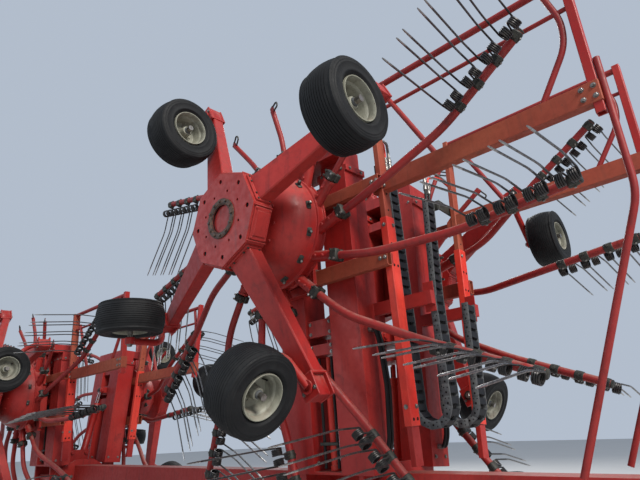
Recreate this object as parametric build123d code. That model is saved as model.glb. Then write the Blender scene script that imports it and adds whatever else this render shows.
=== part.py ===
from build123d import *
from math import cos, pi, radians, sin
import os

# Four-rotor rotary rake, folded for the road and parked on its jack.
# Frame: X forward, Y left, Z up, the ground at Z = 0, millimetres.
# A unit is one rotor with its boom. Unit frame: origin on the fold pin, drawn for the right-hand
# side, so outboard is -Y, and standing upright. The left-hand side is its mirror image.
# Rotor frame: origin where the rotor's axis meets the outer face of the hub plate, +Y inboard.
# Pins and axles are round. Their bores have flats that touch the circle of the pin plus its fit.

# Stance
LEAN = 3.0                # degrees that each folded boom leans outward
PIVOT_Y = 300.0           # fold pins, from the centre plane
PIVOT_Z = 1115.0          # fold pins, above the ground
PLATE_OUT = 790.0         # outer face of the hub plate, outboard of the fold pin

# Stations: name, X of the rotors, height of the rotor's axis above the fold pin
STATIONS = [
    ("front", 1900.0, 1650.0),
    ("rear", -2750.0, 950.0),
]
SIDES = ["right", "left"]

# Telescopic boom: two columns, each with an inner tube
MAST_AHEAD = 100.0        # middle of the two columns, ahead of the rotor's axis
COLUMN_SPREAD = 460.0     # between the columns' centres
COLUMN_X, COLUMN_Y, COLUMN_WALL = 240.0, 200.0, 10.0
SLIDE_GAP = 5.0           # between the outer and the inner tubes
PAD_FIT = 0.3             # between the inner tubes and the wear pads in the columns' mouths
BOOM_FOOT = 130.0         # bottom of the columns above the fold pin
BOOM_PAST_HUB = 420.0     # top of the columns above the rotor's axis
HEAD_PAST_HUB = 560.0     # top of the inner tubes above the rotor's axis
HEAD_HEIGHT = 90.0        # of the box that joins the inner tubes and the carrier
COLLAR, COLLAR_PROUD = 45.0, 16.0
FOOT_PLATE = 14.0
TIE_Y = 160.0             # depth of the beams between the columns
TIE_HEIGHT, LOW_TIE_HEIGHT, TIE_DROP = 110.0, 70.0, 140.0
TOP_TIE_DROP = 120.0      # upper tie below the columns' top

# Fold joint
PIN_R = 30.0
PIN_FIT = 0.05            # radial running clearance
BORE_SIDES = 12
LUG_R, LUG_THICK = 70.0, 30.0
LUG_GAP = 9.0
EAR_THICK = 20.0
EAR_ROUND = 66.0          # the ears' edge around the pin
PIN_PROUD = 26.0
LUG_X = COLUMN_SPREAD / 2
EAR_X = LUG_X + LUG_THICK / 2 + LUG_GAP + EAR_THICK / 2

# Spine of the main frame
SPINE_Y, SPINE_Z = 220.0, 250.0
SPINE_LOW = 985.0
SPINE_BACK, SPINE_FRONT = -3060.0, 4060.0
SPINE_TOP = SPINE_LOW + SPINE_Z

# Carrier on the inner tubes, which holds the rotor
CARRIER_X, CARRIER_THICK = 304.0, 74.0
CARRIER_GAP = 14.0        # between the carrier and the columns
CARRIER_LOW = 420.0       # bottom of the carrier below the rotor's axis
CARRIER_WEB, CARRIER_RIM = 14.0, 60.0
GEAR_R, GEAR_CLEAR = 185.0, 215.0

# Rotor
ARMS = 13
FIRST_ARM = -3.0          # degrees from +X towards up, where the first arm is clamped
SPARE_ARMS = [1, 2, 3, 4]         # taken off for the road height, so only their sockets are there
LIFTED_ARMS = [5, 6, 7, 8]        # the cam holds their tines up
LIFT = 76.0               # degrees that the cam turns the tines about their bar
BELL_SIDES = 20
# Bell's outline: radius, height inboard of the plate
BELL = [(165, 200), (250, 232), (330, 300), (384, 450), (384, 528), (210, 556), (210, 594)]
ARM_OFF = 490.0           # plane of the arm sockets, inboard of the plate
SOCKET_R, SOCKET_LENGTH = 36.0, 235.0
SOCKET_SKEW = 18.7        # degrees that the sockets lean from the radial
CLAMP_RADIUS = 530.0
CLAMP_SIZE = (92.0, 74.0, 58.0)
ARM_R, ARM_SIDES = 25.0, 6
ARM_BEND = 300.0          # first bend of the arm, from its clamp
BAR_START = (1225.0, 612.0, 356.0)
BAR_END = (1735.0, 622.0, 740.0)
COIL_DROP = 98.0          # from the bar's axis to the coils' axis
COIL_R, COIL_LENGTH = 29.0, 98.0
HOLDER_HALF = 14.0        # half the width of the coils' holder at the bar
PAIRS = 4
FIRST_PAIR, PAIR_PITCH = 100.0, 146.0
TINE_PITCH = 63.0
TINE_R, TINE_SIDES = 6.5, 3
KNEE_DROP, KNEE_SIDE = 185.0, 36.0
TINE_DROP = 625.0
STUB_R, STUB_LENGTH = 20.0, 430.0

# Hub: octagonal box below the bell, with the four wheel arms
PLATE_FLAT = 288.0        # from the axis to the flat sides of the octagon
PLATE_TURN = 1.3          # degrees that the octagon's corners are turned from +X
BOX_DEPTH = 140.0
PLATE_THICK = 12.0
HUB_BORE_R, HUB_NOSE_R, HUB_NOSE_IN = 88.0, 64.0, 16.0
COVER_WIDTH, COVER_DEPTH, COVER_THICK = 150.0, 88.0, 14.0
SHAFT_R = 60.0
CHASSIS_ARMS = [113.8, 23.8, -66.2, -156.2]
ARM_ROOT_OFF, ARM_TIP_OFF = 80.0, 265.0   # middle of the arms, inboard of the plate
ARM_ROOT = (196.0, 100.0)         # width and depth of the tapered box at its root
ARM_TOE = (104.0, 84.0)
ARM_TIP = 1070.0          # where the tapered box ends and its bracket starts
BRACKET, BRACKET_WALL = 130.0, 12.0
BRACKET_LOW, BRACKET_HIGH, BRACKET_HALF = 64.0, 58.0, 58.0
POST_AT = 1135.0          # radius of the wheel forks' posts
FORK_POST_R = 27.0
FORK_R, FORK_SIDE = 24.0, 44.0    # fork tube, and its distance from the tyre's side

# Ground wheels
WHEEL_R, WHEEL_WIDTH = 228.0, 212.0
WHEEL_SIDES = 14
SHOULDER = 0.88           # share of the radius at the tyre's sides
TREAD = 0.62              # share of the width that is flat
RIM_R = 112.0
AXLE_R, HUB_WALL = 18.0, 20.0
WHEEL_OFF = -95.0         # wheels' centres, inboard of the plate
# Wheels: name, X and height from the rotor's axis, axle's direction in degrees, and the bend of
# the fork's tube (X, inboard, height)
WHEELS = [
    ("a", -298.0, 699.0, 0.0, (-445.0, 0.0, 900.0)),
    ("b", 1107.0, 183.0, 0.0, (957.0, 120.0, 420.0)),
    ("c", 364.0, -1040.0, -25.0, (292.0, 170.0, -833.0)),
    ("d", -905.0, -467.0, 90.0, (-930.0, 165.0, -617.0)),
]

# Guard frame
RAIL_OFF = 722.0          # plane of the guard frame, inboard of the plate
POST_X, POST_SIDE, POST_Y = 720.0, 74.0, 60.0
POST_TOP_SIDE, POST_TOP_Y = 56.0, 48.0
POST_FOOT_SIDE, POST_FOOT_Y, POST_FOOT = 52.0, 44.0, 200.0
POST_JOINT = -60.0        # where the post's upper part starts, above the rotor's axis
POST_PAST_HUB = 890.0
GUARD_FRONT = 2010.0
BEAM_AT, BEAM_HEIGHT, BEAM_Y = 170.0, 110.0, 62.0
CROSS_AT, CROSS_HEIGHT = -330.0, 100.0
STUB_BEAM_HEIGHT, STUB_BEAM_Y = 84.0, 46.0
GUARD_FLANGE = 22.0       # plates that bolt the frame to the side of the carrier
RAIL_HIGH, RAIL_LOW = 875.0, 695.0
RAIL_R, THIN_RAIL_R, BRACE_R = 21.0, 13.0, 17.0
END_POST = 50.0
# Bent tubes of the guard frame: X and height from the rotor's axis
CORNER_BRACE = [(1725.0, 200.0), (1910.0, 490.0), (1925.0, 640.0), (1860.0, RAIL_HIGH)]
STRUT_TUBE = [(850.0, 735.0), (1120.0, 215.0)]
HOOP = [(2024.0, 350.0), (2024.0, -360.0), (1540.0, -1510.0)]

# Energy chain that takes the hoses along the front booms
CHAIN_X, CHAIN_Y = 740.0, 160.0   # middle of the loop, ahead of the rotor's axis and inboard
CHAIN_R = 110.0           # the bend's centre line
CHAIN_THICK, CHAIN_WIDTH, CHAIN_PLATE = 46.0, 100.0, 7.0
CHAIN_LOW = -1167.0       # centre of the bend, above the rotor's axis
CHAIN_HIGH, CHAIN_END = 300.0, -500.0     # tops of the long and of the short leg
CHAIN_PITCH = 118.0
CHAIN_BAR = (26.0, 12.0)
CHAIN_FACETS = 8
CHAIN_GAP = 6.0           # between the chain and the bracket on the boom

# Hoses on the side of the front booms: distances inboard of the columns' middle
HOSES = [20.0, -12.0]
HOSE_R, HOSE_SIDES = 11.0, 6
HOSE_HIGH, HOSE_LOW = -700.0, -1400.0     # ends, above the rotor's axis
HOSE_BEND = [(0.0, 0.0), (30.0, 0.0), (52.0, 24.0), (85.0, 290.0)]   # out from the column, from the end

# Fold cylinders
RAM_FOOT_Y, RAM_FOOT_Z = 82.0, 1370.0
RAM_HEAD = (140.0, 1010.0)        # rod's eye: inboard of and above the fold pin
RAM_R, ROD_R, RAM_EYE_R, RAM_PIN_R = 45.0, 24.0, 34.0, 15.0
ROD_FIT = 0.3
RAM_BARREL, RAM_SIDES = 600.0, 12
EYE_GAP, EYE_EAR = 5.0, 14.0      # each side of the rod's eye, and the ears' thickness
TOWER_THICK = 14.0

# Road wheels
ROAD_X, ROAD_TRACK = -550.0, 2100.0
ROAD_R, ROAD_WIDTH, ROAD_RIM_R = 470.0, 480.0, 232.0
ROAD_SIDES = 24
RIM_FIT = 0.3
ROAD_AXLE_R = 38.0
AXLE_BEAM = 120.0
STRUT = (110.0, 90.0)

# Drawbar head and jack
HEAD_FRONT = 4633.6       # as far ahead of the origin as the rear tines reach behind it
HEAD_LENGTH = 245.0
HEAD_X = HEAD_FRONT - HEAD_LENGTH     # vertical pivot of the drawbar head
HEAD_SLEEVE_R = 70.0
HEAD_REACH = 40.0         # the head's plates above and below the spine
HEAD_PLATE = 30.0
LINK_SPREAD, LINK_R, LINK_LENGTH = 965.0, 18.3, 100.0
LINK_AHEAD, LINK_DROP = 205.0, 155.0
LINK_BEAM = (80.0, 90.0)
JACK_X = 4000.0
JACK_R, JACK_SLEEVE = 38.0, 50.0
JACK_FOOT_R, JACK_FOOT = 120.0, 14.0
JACK_ABOVE, JACK_PROUD = 130.0, 35.0

HUB_Y = -PLATE_OUT        # the plate's outer face in the unit frame
RAIL_Y = HUB_Y + RAIL_OFF
CARRIER_Y = -COLUMN_Y / 2 - CARRIER_GAP   # the carrier's inboard face


def box(x0, x1, y0, y1, z0, z1):
    """Box between two corners."""
    size = Vector(x1 - x0, y1 - y0, z1 - z0)
    return Pos((x0 + x1) / 2, (y0 + y1) / 2, (z0 + z1) / 2) * Box(size.X, size.Y, size.Z)


def rod(start, end, radius):
    """Round bar from start to end."""
    start, end = Vector(*start), Vector(*end)
    axis = end - start
    return Plane(origin=start, z_dir=axis) * Pos(0, 0, axis.length / 2) * Cylinder(radius, axis.length)


def bar(start, end, radius, sides):
    """Bar of flat sides from start to end."""
    start, end = Vector(*start), Vector(*end)
    plane = Plane(origin=start, z_dir=end - start)
    return extrude(plane * RegularPolygon(radius, sides), (end - start).length)


def bore(start, end, radius, fit=PIN_FIT):
    """Cut for a round pin of that radius."""
    return bar(start, end, (radius + fit) / cos(pi / BORE_SIDES), BORE_SIDES)


def tube_path(points, radius, sides):
    """Bar of flat sides along straight runs with mitred corners."""
    path = Polyline(*[tuple(p) for p in points])
    start = Plane(origin=path @ 0, z_dir=path % 0)
    return sweep(start * RegularPolygon(radius, sides), path=path, transition=Transition.RIGHT)


def beam(start, end, width, depth, x_dir):
    """Rectangular bar along a straight run; width lies along x_dir."""
    start, end = Vector(*start), Vector(*end)
    plane = Plane(origin=start, x_dir=x_dir, z_dir=end - start)
    return extrude(plane * Rectangle(width, depth), (end - start).length)


def skin(rings):
    """Solid of flat faces through rings of corners, with a flat end at each end."""
    faces = [Face(Wire.make_polygon(ring, close=True)) for ring in (rings[0], rings[-1])]
    for low, high in zip(rings, rings[1:]):
        for k in range(len(low)):
            j = (k + 1) % len(low)
            faces.append(Face(Wire.make_polygon([low[k], low[j], high[j], high[k]], close=True)))
    return Solid(Shell(faces))


def spun(profile, sides):
    """Solid of many flat sides round the Z axis; profile rows are radius, height."""
    turns = [2 * pi * (k + 0.5) / sides for k in range(sides)]
    return skin([[Vector(radius * cos(turn), radius * sin(turn), height) for turn in turns]
                 for radius, height in profile])


def box_tube(x, y, wall, z0, z1):
    """Rectangular tube along Z, open at both ends."""
    outer = box(-x / 2, x / 2, -y / 2, y / 2, z0, z1)
    return outer - box(-x / 2 + wall, x / 2 - wall, -y / 2 + wall, y / 2 - wall, z0 - 1, z1 + 1)


def in_unit(shape, hub_height):
    """From the rotor frame to the unit frame."""
    return Pos(0, HUB_Y, hub_height) * shape


def placed(shape, station_x, side):
    """From the unit frame to the machine, leaning outward."""
    right = Location((station_x, -PIVOT_Y, PIVOT_Z), (LEAN, 0, 0)) * shape
    return right if side == "right" else mirror(right, about=Plane.XZ)


# Boom

def column(top):
    """Outer tube of one column, with its collar, wear pads and fold lug."""
    mouth_wall = COLUMN_WALL + SLIDE_GAP - PAD_FIT
    tube = box_tube(COLUMN_X, COLUMN_Y, COLUMN_WALL, BOOM_FOOT, top)
    mouth = box_tube(COLUMN_X, COLUMN_Y, mouth_wall, top - COLLAR, top)
    face, proud = COLUMN_X / 2, COLUMN_X / 2 + COLLAR_PROUD
    for x0, x1 in ((-proud, 1 - face), (face - 1, proud)):
        mouth += box(x0, x1, -COLUMN_Y / 2, COLUMN_Y / 2, top - COLLAR, top)
    outline = Pos(0, (BOOM_FOOT + FOOT_PLATE) / 2) * Rectangle(2 * LUG_R, BOOM_FOOT + FOOT_PLATE)
    outline += RegularPolygon(LUG_R, 12, major_radius=False, rotation=15)
    lug = extrude(Plane.YZ * outline, LUG_THICK / 2, both=True)
    return tube + mouth + (lug - bore((-LUG_THICK, 0, 0), (LUG_THICK, 0, 0), PIN_R))


def outer_boom(hub_height, chained):
    """Two columns joined by ties, with the ears that the fold cylinder pushes."""
    top = hub_height + BOOM_PAST_HUB
    half = COLUMN_SPREAD / 2
    inner, outer = half - COLUMN_X / 2 + 1, half + COLUMN_X / 2
    shape = box(-outer, outer, -COLUMN_Y / 2, COLUMN_Y / 2, BOOM_FOOT, BOOM_FOOT + FOOT_PLATE)
    for side in (-1, 1):
        shape += Pos(side * half, 0, 0) * column(top)
    for middle, height in ((RAM_HEAD[1], TIE_HEIGHT), (RAM_HEAD[1] - TIE_DROP, LOW_TIE_HEIGHT),
                           (top - TOP_TIE_DROP, LOW_TIE_HEIGHT)):
        shape += box(-inner, inner, -TIE_Y / 2, TIE_Y / 2, middle - height / 2, middle + height / 2)
    for side in (-1, 1):
        ear_x = side * (RAM_EYE_R + EYE_GAP + EYE_EAR / 2)
        outline = Pos(*RAM_HEAD) * RegularPolygon(RAM_EYE_R, 12, major_radius=False, rotation=15)
        reach = RAM_HEAD[0] - TIE_Y / 2 + 2
        outline += Pos(RAM_HEAD[0] - reach / 2, RAM_HEAD[1]) * Rectangle(reach, 2 * RAM_EYE_R)
        shape += Pos(ear_x, 0, 0) * extrude(Plane.YZ * outline, EYE_EAR / 2, both=True)
        cap = ear_x + side * (EYE_EAR / 2 - 1)
        shape += bar((cap, *RAM_HEAD), (cap + side * EYE_EAR, *RAM_HEAD), RAM_PIN_R + 8, 6)
    shape = Pos(MAST_AHEAD, 0, 0) * shape
    return shape + chain_bracket(hub_height, MAST_AHEAD + outer) if chained else shape


def chain_bracket(hub_height, column_face):
    """Arm from the column that carries the end of the energy chain's short leg."""
    leg = CHAIN_X + CHAIN_R
    inboard = CHAIN_Y - CHAIN_WIDTH / 2 - CHAIN_GAP
    top = hub_height + CHAIN_END
    arm = box(column_face - 1, leg + CHAIN_THICK / 2, inboard - 44, inboard - 4, top - 110, top - 30)
    return arm + box(leg - CHAIN_THICK, leg + CHAIN_THICK / 2, inboard - 6, inboard, top - 150, top + 30)


def inner_boom(hub_height):
    """Inner tubes, and the head and carrier that hold the rotor's gearbox and shaft."""
    x, y = COLUMN_X - 2 * (COLUMN_WALL + SLIDE_GAP), COLUMN_Y - 2 * (COLUMN_WALL + SLIDE_GAP)
    top = hub_height + HEAD_PAST_HUB
    half = COLUMN_SPREAD / 2
    face = CARRIER_Y - CARRIER_THICK
    shape = box(MAST_AHEAD - half - x / 2, MAST_AHEAD + half + x / 2, face, y / 2, top - HEAD_HEIGHT, top)
    for side in (-1, 1):
        tube = box_tube(x, y, COLUMN_WALL, BOOM_FOOT + 30, top - HEAD_HEIGHT + 1)
        shape += Pos(MAST_AHEAD + side * half, 0, 0) * tube
    low = hub_height - CARRIER_LOW
    shape += box(-CARRIER_X / 2, CARRIER_X / 2, face, CARRIER_Y, low, top)
    rim = CARRIER_X / 2 - CARRIER_RIM
    for z0, z1 in ((low + 50, hub_height - GEAR_CLEAR), (hub_height + GEAR_CLEAR, top - HEAD_HEIGHT - 30)):
        shape -= box(-rim, rim, face - 1, CARRIER_Y - CARRIER_WEB, z0, z1)
    shape += bar((0, face + 2, hub_height), (0, face - 2, hub_height), GEAR_R, 16)
    return shape + rod((0, HUB_Y + BOX_DEPTH, hub_height), (0, face + 2, hub_height), SHAFT_R)


# Guard frame

def post(x, y, z0, z1):
    """One length of the guard's post."""
    return Pos(POST_X, RAIL_Y, (z0 + z1) / 2) * Box(x, y, z1 - z0)


def guard_frame(hub_height, full):
    y = RAIL_Y
    low = hub_height - (1270 if full else 560)
    joint = hub_height + POST_JOINT
    shape = post(POST_SIDE, POST_Y, low, joint)
    shape += post(POST_TOP_SIDE, POST_TOP_Y, joint - 1, hub_height + POST_PAST_HUB)
    shape += post(POST_FOOT_SIDE, POST_FOOT_Y, low - POST_FOOT, low + 1)
    start = POST_X - 60
    main = beam((start, y, hub_height + BEAM_AT), (GUARD_FRONT, y, hub_height + BEAM_AT),
                BEAM_HEIGHT, BEAM_Y, (0, 0, 1))
    shape += main - Pos(start, y, hub_height + BEAM_AT + BEAM_HEIGHT / 2) * Rot(0, 45, 0) * Box(60, 80, 60)
    shape += bolted_beam(hub_height + BEAM_AT, STUB_BEAM_HEIGHT)
    shape += bolted_beam(hub_height + CROSS_AT, CROSS_HEIGHT)
    high, thin = hub_height + RAIL_HIGH, hub_height + RAIL_LOW
    end = GUARD_FRONT - END_POST
    shape += box(end, GUARD_FRONT, y - END_POST / 2, y + END_POST / 2, hub_height + 60, high + END_POST / 2)
    shape += bar((POST_X, y, high), (end + 1, y, high), RAIL_R, 8)
    shape += bar((POST_X, y, thin), (end + 1, y, thin), THIN_RAIL_R, 6)
    for route in [CORNER_BRACE, STRUT_TUBE] + ([HOOP] if full else []):
        shape += tube_path([(x, y, hub_height + z) for x, z in route], BRACE_R, 6)
    return shape


def bolted_beam(z, height):
    """Beam from the carrier's side to the face of the post, with its flange and packer."""
    out = CARRIER_Y - STUB_BEAM_Y
    hang = CARRIER_X / 2
    shape = box(hang, POST_X + 30, out, CARRIER_Y, z - height / 2, z + height / 2)
    shape += box(hang, hang + GUARD_FLANGE, CARRIER_Y - CARRIER_THICK + 2, CARRIER_Y - 2, z - 60, z + 60)
    return shape + box(POST_X - 34, POST_X + 26, CARRIER_Y - 1, RAIL_Y - POST_TOP_Y / 2, z - 34, z + 34)


# Energy chain

def chain_loop(hub_height, offset):
    """Line of the chain's loop, offset outward from the centre line: long leg, bend, short leg."""
    low = hub_height + CHAIN_LOW
    radius = CHAIN_R + offset
    turns = [pi + pi * k / CHAIN_FACETS for k in range(CHAIN_FACETS + 1)]
    bend = [(CHAIN_X + radius * cos(turn), low + radius * sin(turn)) for turn in turns]
    first, last = (CHAIN_X - radius, hub_height + CHAIN_HIGH), (CHAIN_X + radius, hub_height + CHAIN_END)
    return [first, *bend, last]


def chain_point(hub_height, along):
    """Point and direction on the centre line, from the top of the long leg."""
    leg = CHAIN_HIGH - CHAIN_LOW
    if along < leg:
        return (CHAIN_X - CHAIN_R, hub_height + CHAIN_HIGH - along), (0, -1)
    turn = (along - leg) / CHAIN_R
    if turn < pi:
        return ((CHAIN_X - CHAIN_R * cos(turn), hub_height + CHAIN_LOW - CHAIN_R * sin(turn)),
                (sin(turn), -cos(turn)))
    return (CHAIN_X + CHAIN_R, hub_height + CHAIN_LOW + along - leg - pi * CHAIN_R), (0, 1)


def energy_chain(hub_height):
    """Side plates, cross bars and the bracket that holds the long leg to the post."""
    corners = chain_loop(hub_height, CHAIN_THICK / 2) + chain_loop(hub_height, -CHAIN_THICK / 2)[::-1]
    outer = CHAIN_WIDTH / 2
    shapes = []
    for side in (-1, 1):
        at = CHAIN_Y + side * (outer - CHAIN_PLATE / 2)
        face = make_face(Polyline(*[(x, at, z) for x, z in corners], close=True))
        shapes.append(extrude(face, CHAIN_PLATE / 2, dir=(0, 1, 0), both=True))
    length = CHAIN_HIGH - CHAIN_LOW + pi * CHAIN_R + CHAIN_END - CHAIN_LOW
    for k in range(int(length / CHAIN_PITCH)):
        (x, z), (dx, dz) = chain_point(hub_height, (k + 0.5) * CHAIN_PITCH)
        at = Plane(origin=(x, CHAIN_Y, z), x_dir=(dx, 0, dz), z_dir=(0, 1, 0))
        shapes.append(at * Box(CHAIN_BAR[0], CHAIN_BAR[1], CHAIN_WIDTH - 2))
    low, high = hub_height + CHAIN_HIGH - 65, hub_height + CHAIN_HIGH + 15
    side_face = POST_X - POST_TOP_SIDE / 2
    chain_face, plate_y = CHAIN_X - CHAIN_R - CHAIN_THICK / 2, CHAIN_Y - outer
    shapes.append(box(side_face - 10, side_face, RAIL_Y - POST_TOP_Y / 2 + 4, plate_y, low, high))
    shapes.append(box(chain_face, side_face - 9, plate_y - 8, plate_y + 1, low, high))
    return shapes[0] + shapes[1:]


def hoses(hub_height):
    """Hoses that leave the side of the column, bow down along it and go back in."""
    face = MAST_AHEAD + COLUMN_SPREAD / 2 + COLUMN_X / 2
    high, low = hub_height + HOSE_HIGH, hub_height + HOSE_LOW
    route = [(face + out, high - down) for out, down in HOSE_BEND]
    route += [(face + out, low + up) for out, up in HOSE_BEND[::-1]]
    return Compound([tube_path([(x, y, z) for x, z in route], HOSE_R, HOSE_SIDES) for y in HOSES])


# Hub and wheel arms

def chassis():
    boxed = octagon(PLATE_FLAT, 0, BOX_DEPTH)
    boxed -= octagon(PLATE_FLAT - 60, PLATE_THICK, BOX_DEPTH - PLATE_THICK)
    boxed -= bar((0, -1, 0), (0, PLATE_THICK + 1, 0), HUB_BORE_R, 16)
    nose = bar((0, HUB_NOSE_IN, 0), (0, BOX_DEPTH, 0), HUB_NOSE_R, 16)
    arms = [chassis_arm(angle) for angle in CHASSIS_ARMS]
    low, high = (BOX_DEPTH - COVER_DEPTH) / 2, (BOX_DEPTH + COVER_DEPTH) / 2
    half = COVER_WIDTH / 2
    cover = box(PLATE_FLAT - 1, PLATE_FLAT + COVER_THICK, low, high, -half, half)
    covers = [Rot(0, -angle - 45, 0) * cover for angle in CHASSIS_ARMS]
    forks = [fork(*wheel[1:], CHASSIS_ARMS[k]) for k, wheel in enumerate(WHEELS)]
    return boxed + nose + arms + covers + forks


def octagon(flat, start, end):
    """Octagonal prism round the rotor's axis."""
    outline = Plane.XZ.offset(-start) * RegularPolygon(flat, 8, major_radius=False, rotation=PLATE_TURN)
    return extrude(outline, start - end)


def chassis_arm(angle):
    """Tapered box arm with an open bracket at its tip."""
    sections = [(PLATE_FLAT - 30, ARM_ROOT_OFF, ARM_ROOT), (ARM_TIP, ARM_TIP_OFF, ARM_TOE)]
    rings = []
    for x, middle, (width, depth) in sections:
        low, high, half = middle - depth / 2, middle + depth / 2, width / 2
        corners = [(low, -half), (high, -half), (high, half), (low, half)]
        rings.append([Vector(x, y, z) for y, z in corners])
    low, high, end = ARM_TIP_OFF - BRACKET_LOW, ARM_TIP_OFF + BRACKET_HIGH, ARM_TIP + BRACKET
    bracket = box(ARM_TIP - 6, end, low, high, -BRACKET_HALF, BRACKET_HALF)
    bracket -= box(ARM_TIP + 10, end + 10, low + BRACKET_WALL, high - BRACKET_WALL,
                   -BRACKET_HALF - 1, BRACKET_HALF + 1)
    return Rot(0, -angle, 0) * (skin(rings) + bracket)


def fork(x, z, turn, bend, angle):
    """Post in the arm's bracket, and a bent tube over the tyre to the wheel's axle."""
    post_x, post_z = POST_AT * cos(radians(angle)), POST_AT * sin(radians(angle))
    out = Vector(cos(radians(turn)), 0, sin(radians(turn)))
    centre = Vector(x, WHEEL_OFF, z)
    flank = centre - out * (WHEEL_WIDTH / 2 + FORK_SIDE)
    start = Vector(post_x, ARM_TIP_OFF - BRACKET_LOW, post_z)
    post = bar(start, (post_x, ARM_TIP_OFF + BRACKET_HIGH - 2, post_z), FORK_POST_R, 8)
    tube = tube_path([start, bend, flank], FORK_R, ARM_SIDES)
    axle = rod(flank, centre + out * (WHEEL_WIDTH / 2), AXLE_R)
    boss = bar(flank - out * 22, flank + out * 24, FORK_R + 9, 8)
    return post + tube + axle + boss


# Rotor

def bell():
    """Bell that carries the arm sockets."""
    shape = Rot(-90, 0, 0) * spun(BELL, BELL_SIDES) - bore((0, 190, 0), (0, 600, 0), SHAFT_R)
    skew = radians(SOCKET_SKEW)
    start = (CLAMP_RADIUS - SOCKET_LENGTH * cos(skew), ARM_OFF, -SOCKET_LENGTH * sin(skew))
    socket = tube_path([start, (CLAMP_RADIUS, ARM_OFF, 0)], SOCKET_R, ARM_SIDES)
    return shape + [Rot(0, -(FIRST_ARM + k * 360 / ARMS), 0) * socket for k in range(ARMS)]


def tine_leg(at, drop, cross):
    """Wire from the coil past its knee to the tip."""
    knee = at + drop * KNEE_DROP - cross * KNEE_SIDE
    return tube_path([at, knee, knee + drop * (TINE_DROP - KNEE_DROP)], TINE_R, TINE_SIDES)


def clamp(at, along):
    """Two-part clamp at the mouth of a socket."""
    return Plane(origin=at + along * 30, x_dir=(0, 1, 0), z_dir=along) * Box(*CLAMP_SIZE)


def tine_arm(lift):
    """Clamp, cranked tube and four pairs of coiled tines; lift turns the tines about the bar."""
    skew = radians(SOCKET_SKEW)
    foot = Vector(CLAMP_RADIUS + 1, ARM_OFF, 0)
    along = Vector(cos(skew), 0, sin(skew))
    start, end = Vector(*BAR_START), Vector(*BAR_END)
    arm = tube_path([foot, foot + along * ARM_BEND, start, end], ARM_R, ARM_SIDES) + clamp(foot, along)
    run = (end - start).normalized()
    down = Vector(0, -1, 0)
    down = (down - run * down.dot(run)).normalized()
    side = run.cross(down).normalized()
    angle = radians(lift)
    drop = down * cos(angle) - side * sin(angle)
    cross = side * cos(angle) + down * sin(angle)
    bottom = COIL_DROP + COIL_R
    half = [(10, HOLDER_HALF), (COIL_DROP - 8, COIL_R), (bottom, 10)]
    holder = [(u, -v) for u, v in half] + half[::-1]
    for k in range(PAIRS):
        middle = start + run * (FIRST_PAIR + k * PAIR_PITCH)
        coil = middle + drop * COIL_DROP
        frame = Plane(origin=middle - run * (COIL_LENGTH / 2), x_dir=drop, z_dir=run)
        arm += extrude(frame * make_face(Polyline(*holder, close=True)), COIL_LENGTH)
        for leg in (-0.5, 0.5):
            arm += tine_leg(coil + run * (leg * TINE_PITCH) + drop * 12, drop, cross)
    return arm


def empty_arm():
    """Clamp, short tube and keeper loop that stay where an arm is taken off."""
    skew = radians(SOCKET_SKEW)
    foot = Vector(CLAMP_RADIUS + 1, ARM_OFF, 0)
    along = Vector(cos(skew), 0, sin(skew))
    bend = foot + along * STUB_LENGTH + Vector(0, -40, 0)
    tube = tube_path([foot, foot + along * 200, bend, bend + Vector(-20, -70, 60)], STUB_R, ARM_SIDES)
    return tube + clamp(foot, along)


def tine_arms():
    spare, lifted, lowered = empty_arm(), tine_arm(LIFT), tine_arm(0.0)
    shapes = []
    for k in range(ARMS):
        shape = spare if k in SPARE_ARMS else lifted if k in LIFTED_ARMS else lowered
        shapes.append(Rot(0, -(FIRST_ARM + k * 360 / ARMS), 0) * shape)
    return shapes


# Wheels

def ground_wheel():
    """Tyre and rim in one, round the Z axis, dished on its outer side."""
    half = WHEEL_WIDTH / 2
    shape = spun([(WHEEL_R * SHOULDER, -half), (WHEEL_R, -half * TREAD), (WHEEL_R, half * TREAD),
                  (WHEEL_R * SHOULDER, half)], WHEEL_SIDES)
    shape -= spun([(RIM_R * 0.72, half * 0.25), (RIM_R, half + 1)], WHEEL_SIDES)
    shape += bar((0, 0, 0), (0, 0, half * TREAD), AXLE_R + HUB_WALL, 8)
    return shape - bore((0, 0, -half - 2), (0, 0, half + 2), AXLE_R)


def ground_wheels(station_x, hub_height, side):
    nodes = {}
    shape = ground_wheel()
    for name, x, z, turn, bend in WHEELS:
        at = Plane(origin=(x, WHEEL_OFF, z), z_dir=(cos(radians(turn)), 0, sin(radians(turn))))
        nodes[name] = placed(in_unit(at * shape, hub_height), station_x, side)
    return nodes


def road_rim():
    half = ROAD_WIDTH / 2
    lip = ROAD_RIM_R - 16
    rim = spun([(ROAD_RIM_R, -half * 0.8), (ROAD_RIM_R, half * 0.8)], ROAD_SIDES)
    rim -= spun([(ROAD_RIM_R - 60, half * 0.05), (lip, half * 0.85)], ROAD_SIDES)
    rim -= spun([(lip, -half * 0.85), (ROAD_RIM_R - 40, -half * 0.1)], ROAD_SIDES)
    rim += bar((0, 0, -half / 2), (0, 0, half / 2), 80, 12)
    return rim - bore((0, 0, -half), (0, 0, half), ROAD_AXLE_R)


def road_tyre():
    """Tyre that stands on one of its flats."""
    half = ROAD_WIDTH / 2
    tread = ROAD_R / cos(pi / ROAD_SIDES)
    bead = ROAD_RIM_R + RIM_FIT
    tyre = spun([(bead + 25, -half * 0.8), (tread * 0.8, -half), (tread * 0.95, -half * 0.86),
                 (tread, -half * 0.6), (tread, half * 0.6), (tread * 0.95, half * 0.86),
                 (tread * 0.8, half), (bead + 25, half * 0.8)], ROAD_SIDES)
    return tyre - spun([(bead, -half - 5), (bead, half + 5)], ROAD_SIDES)


# Main frame

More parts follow.
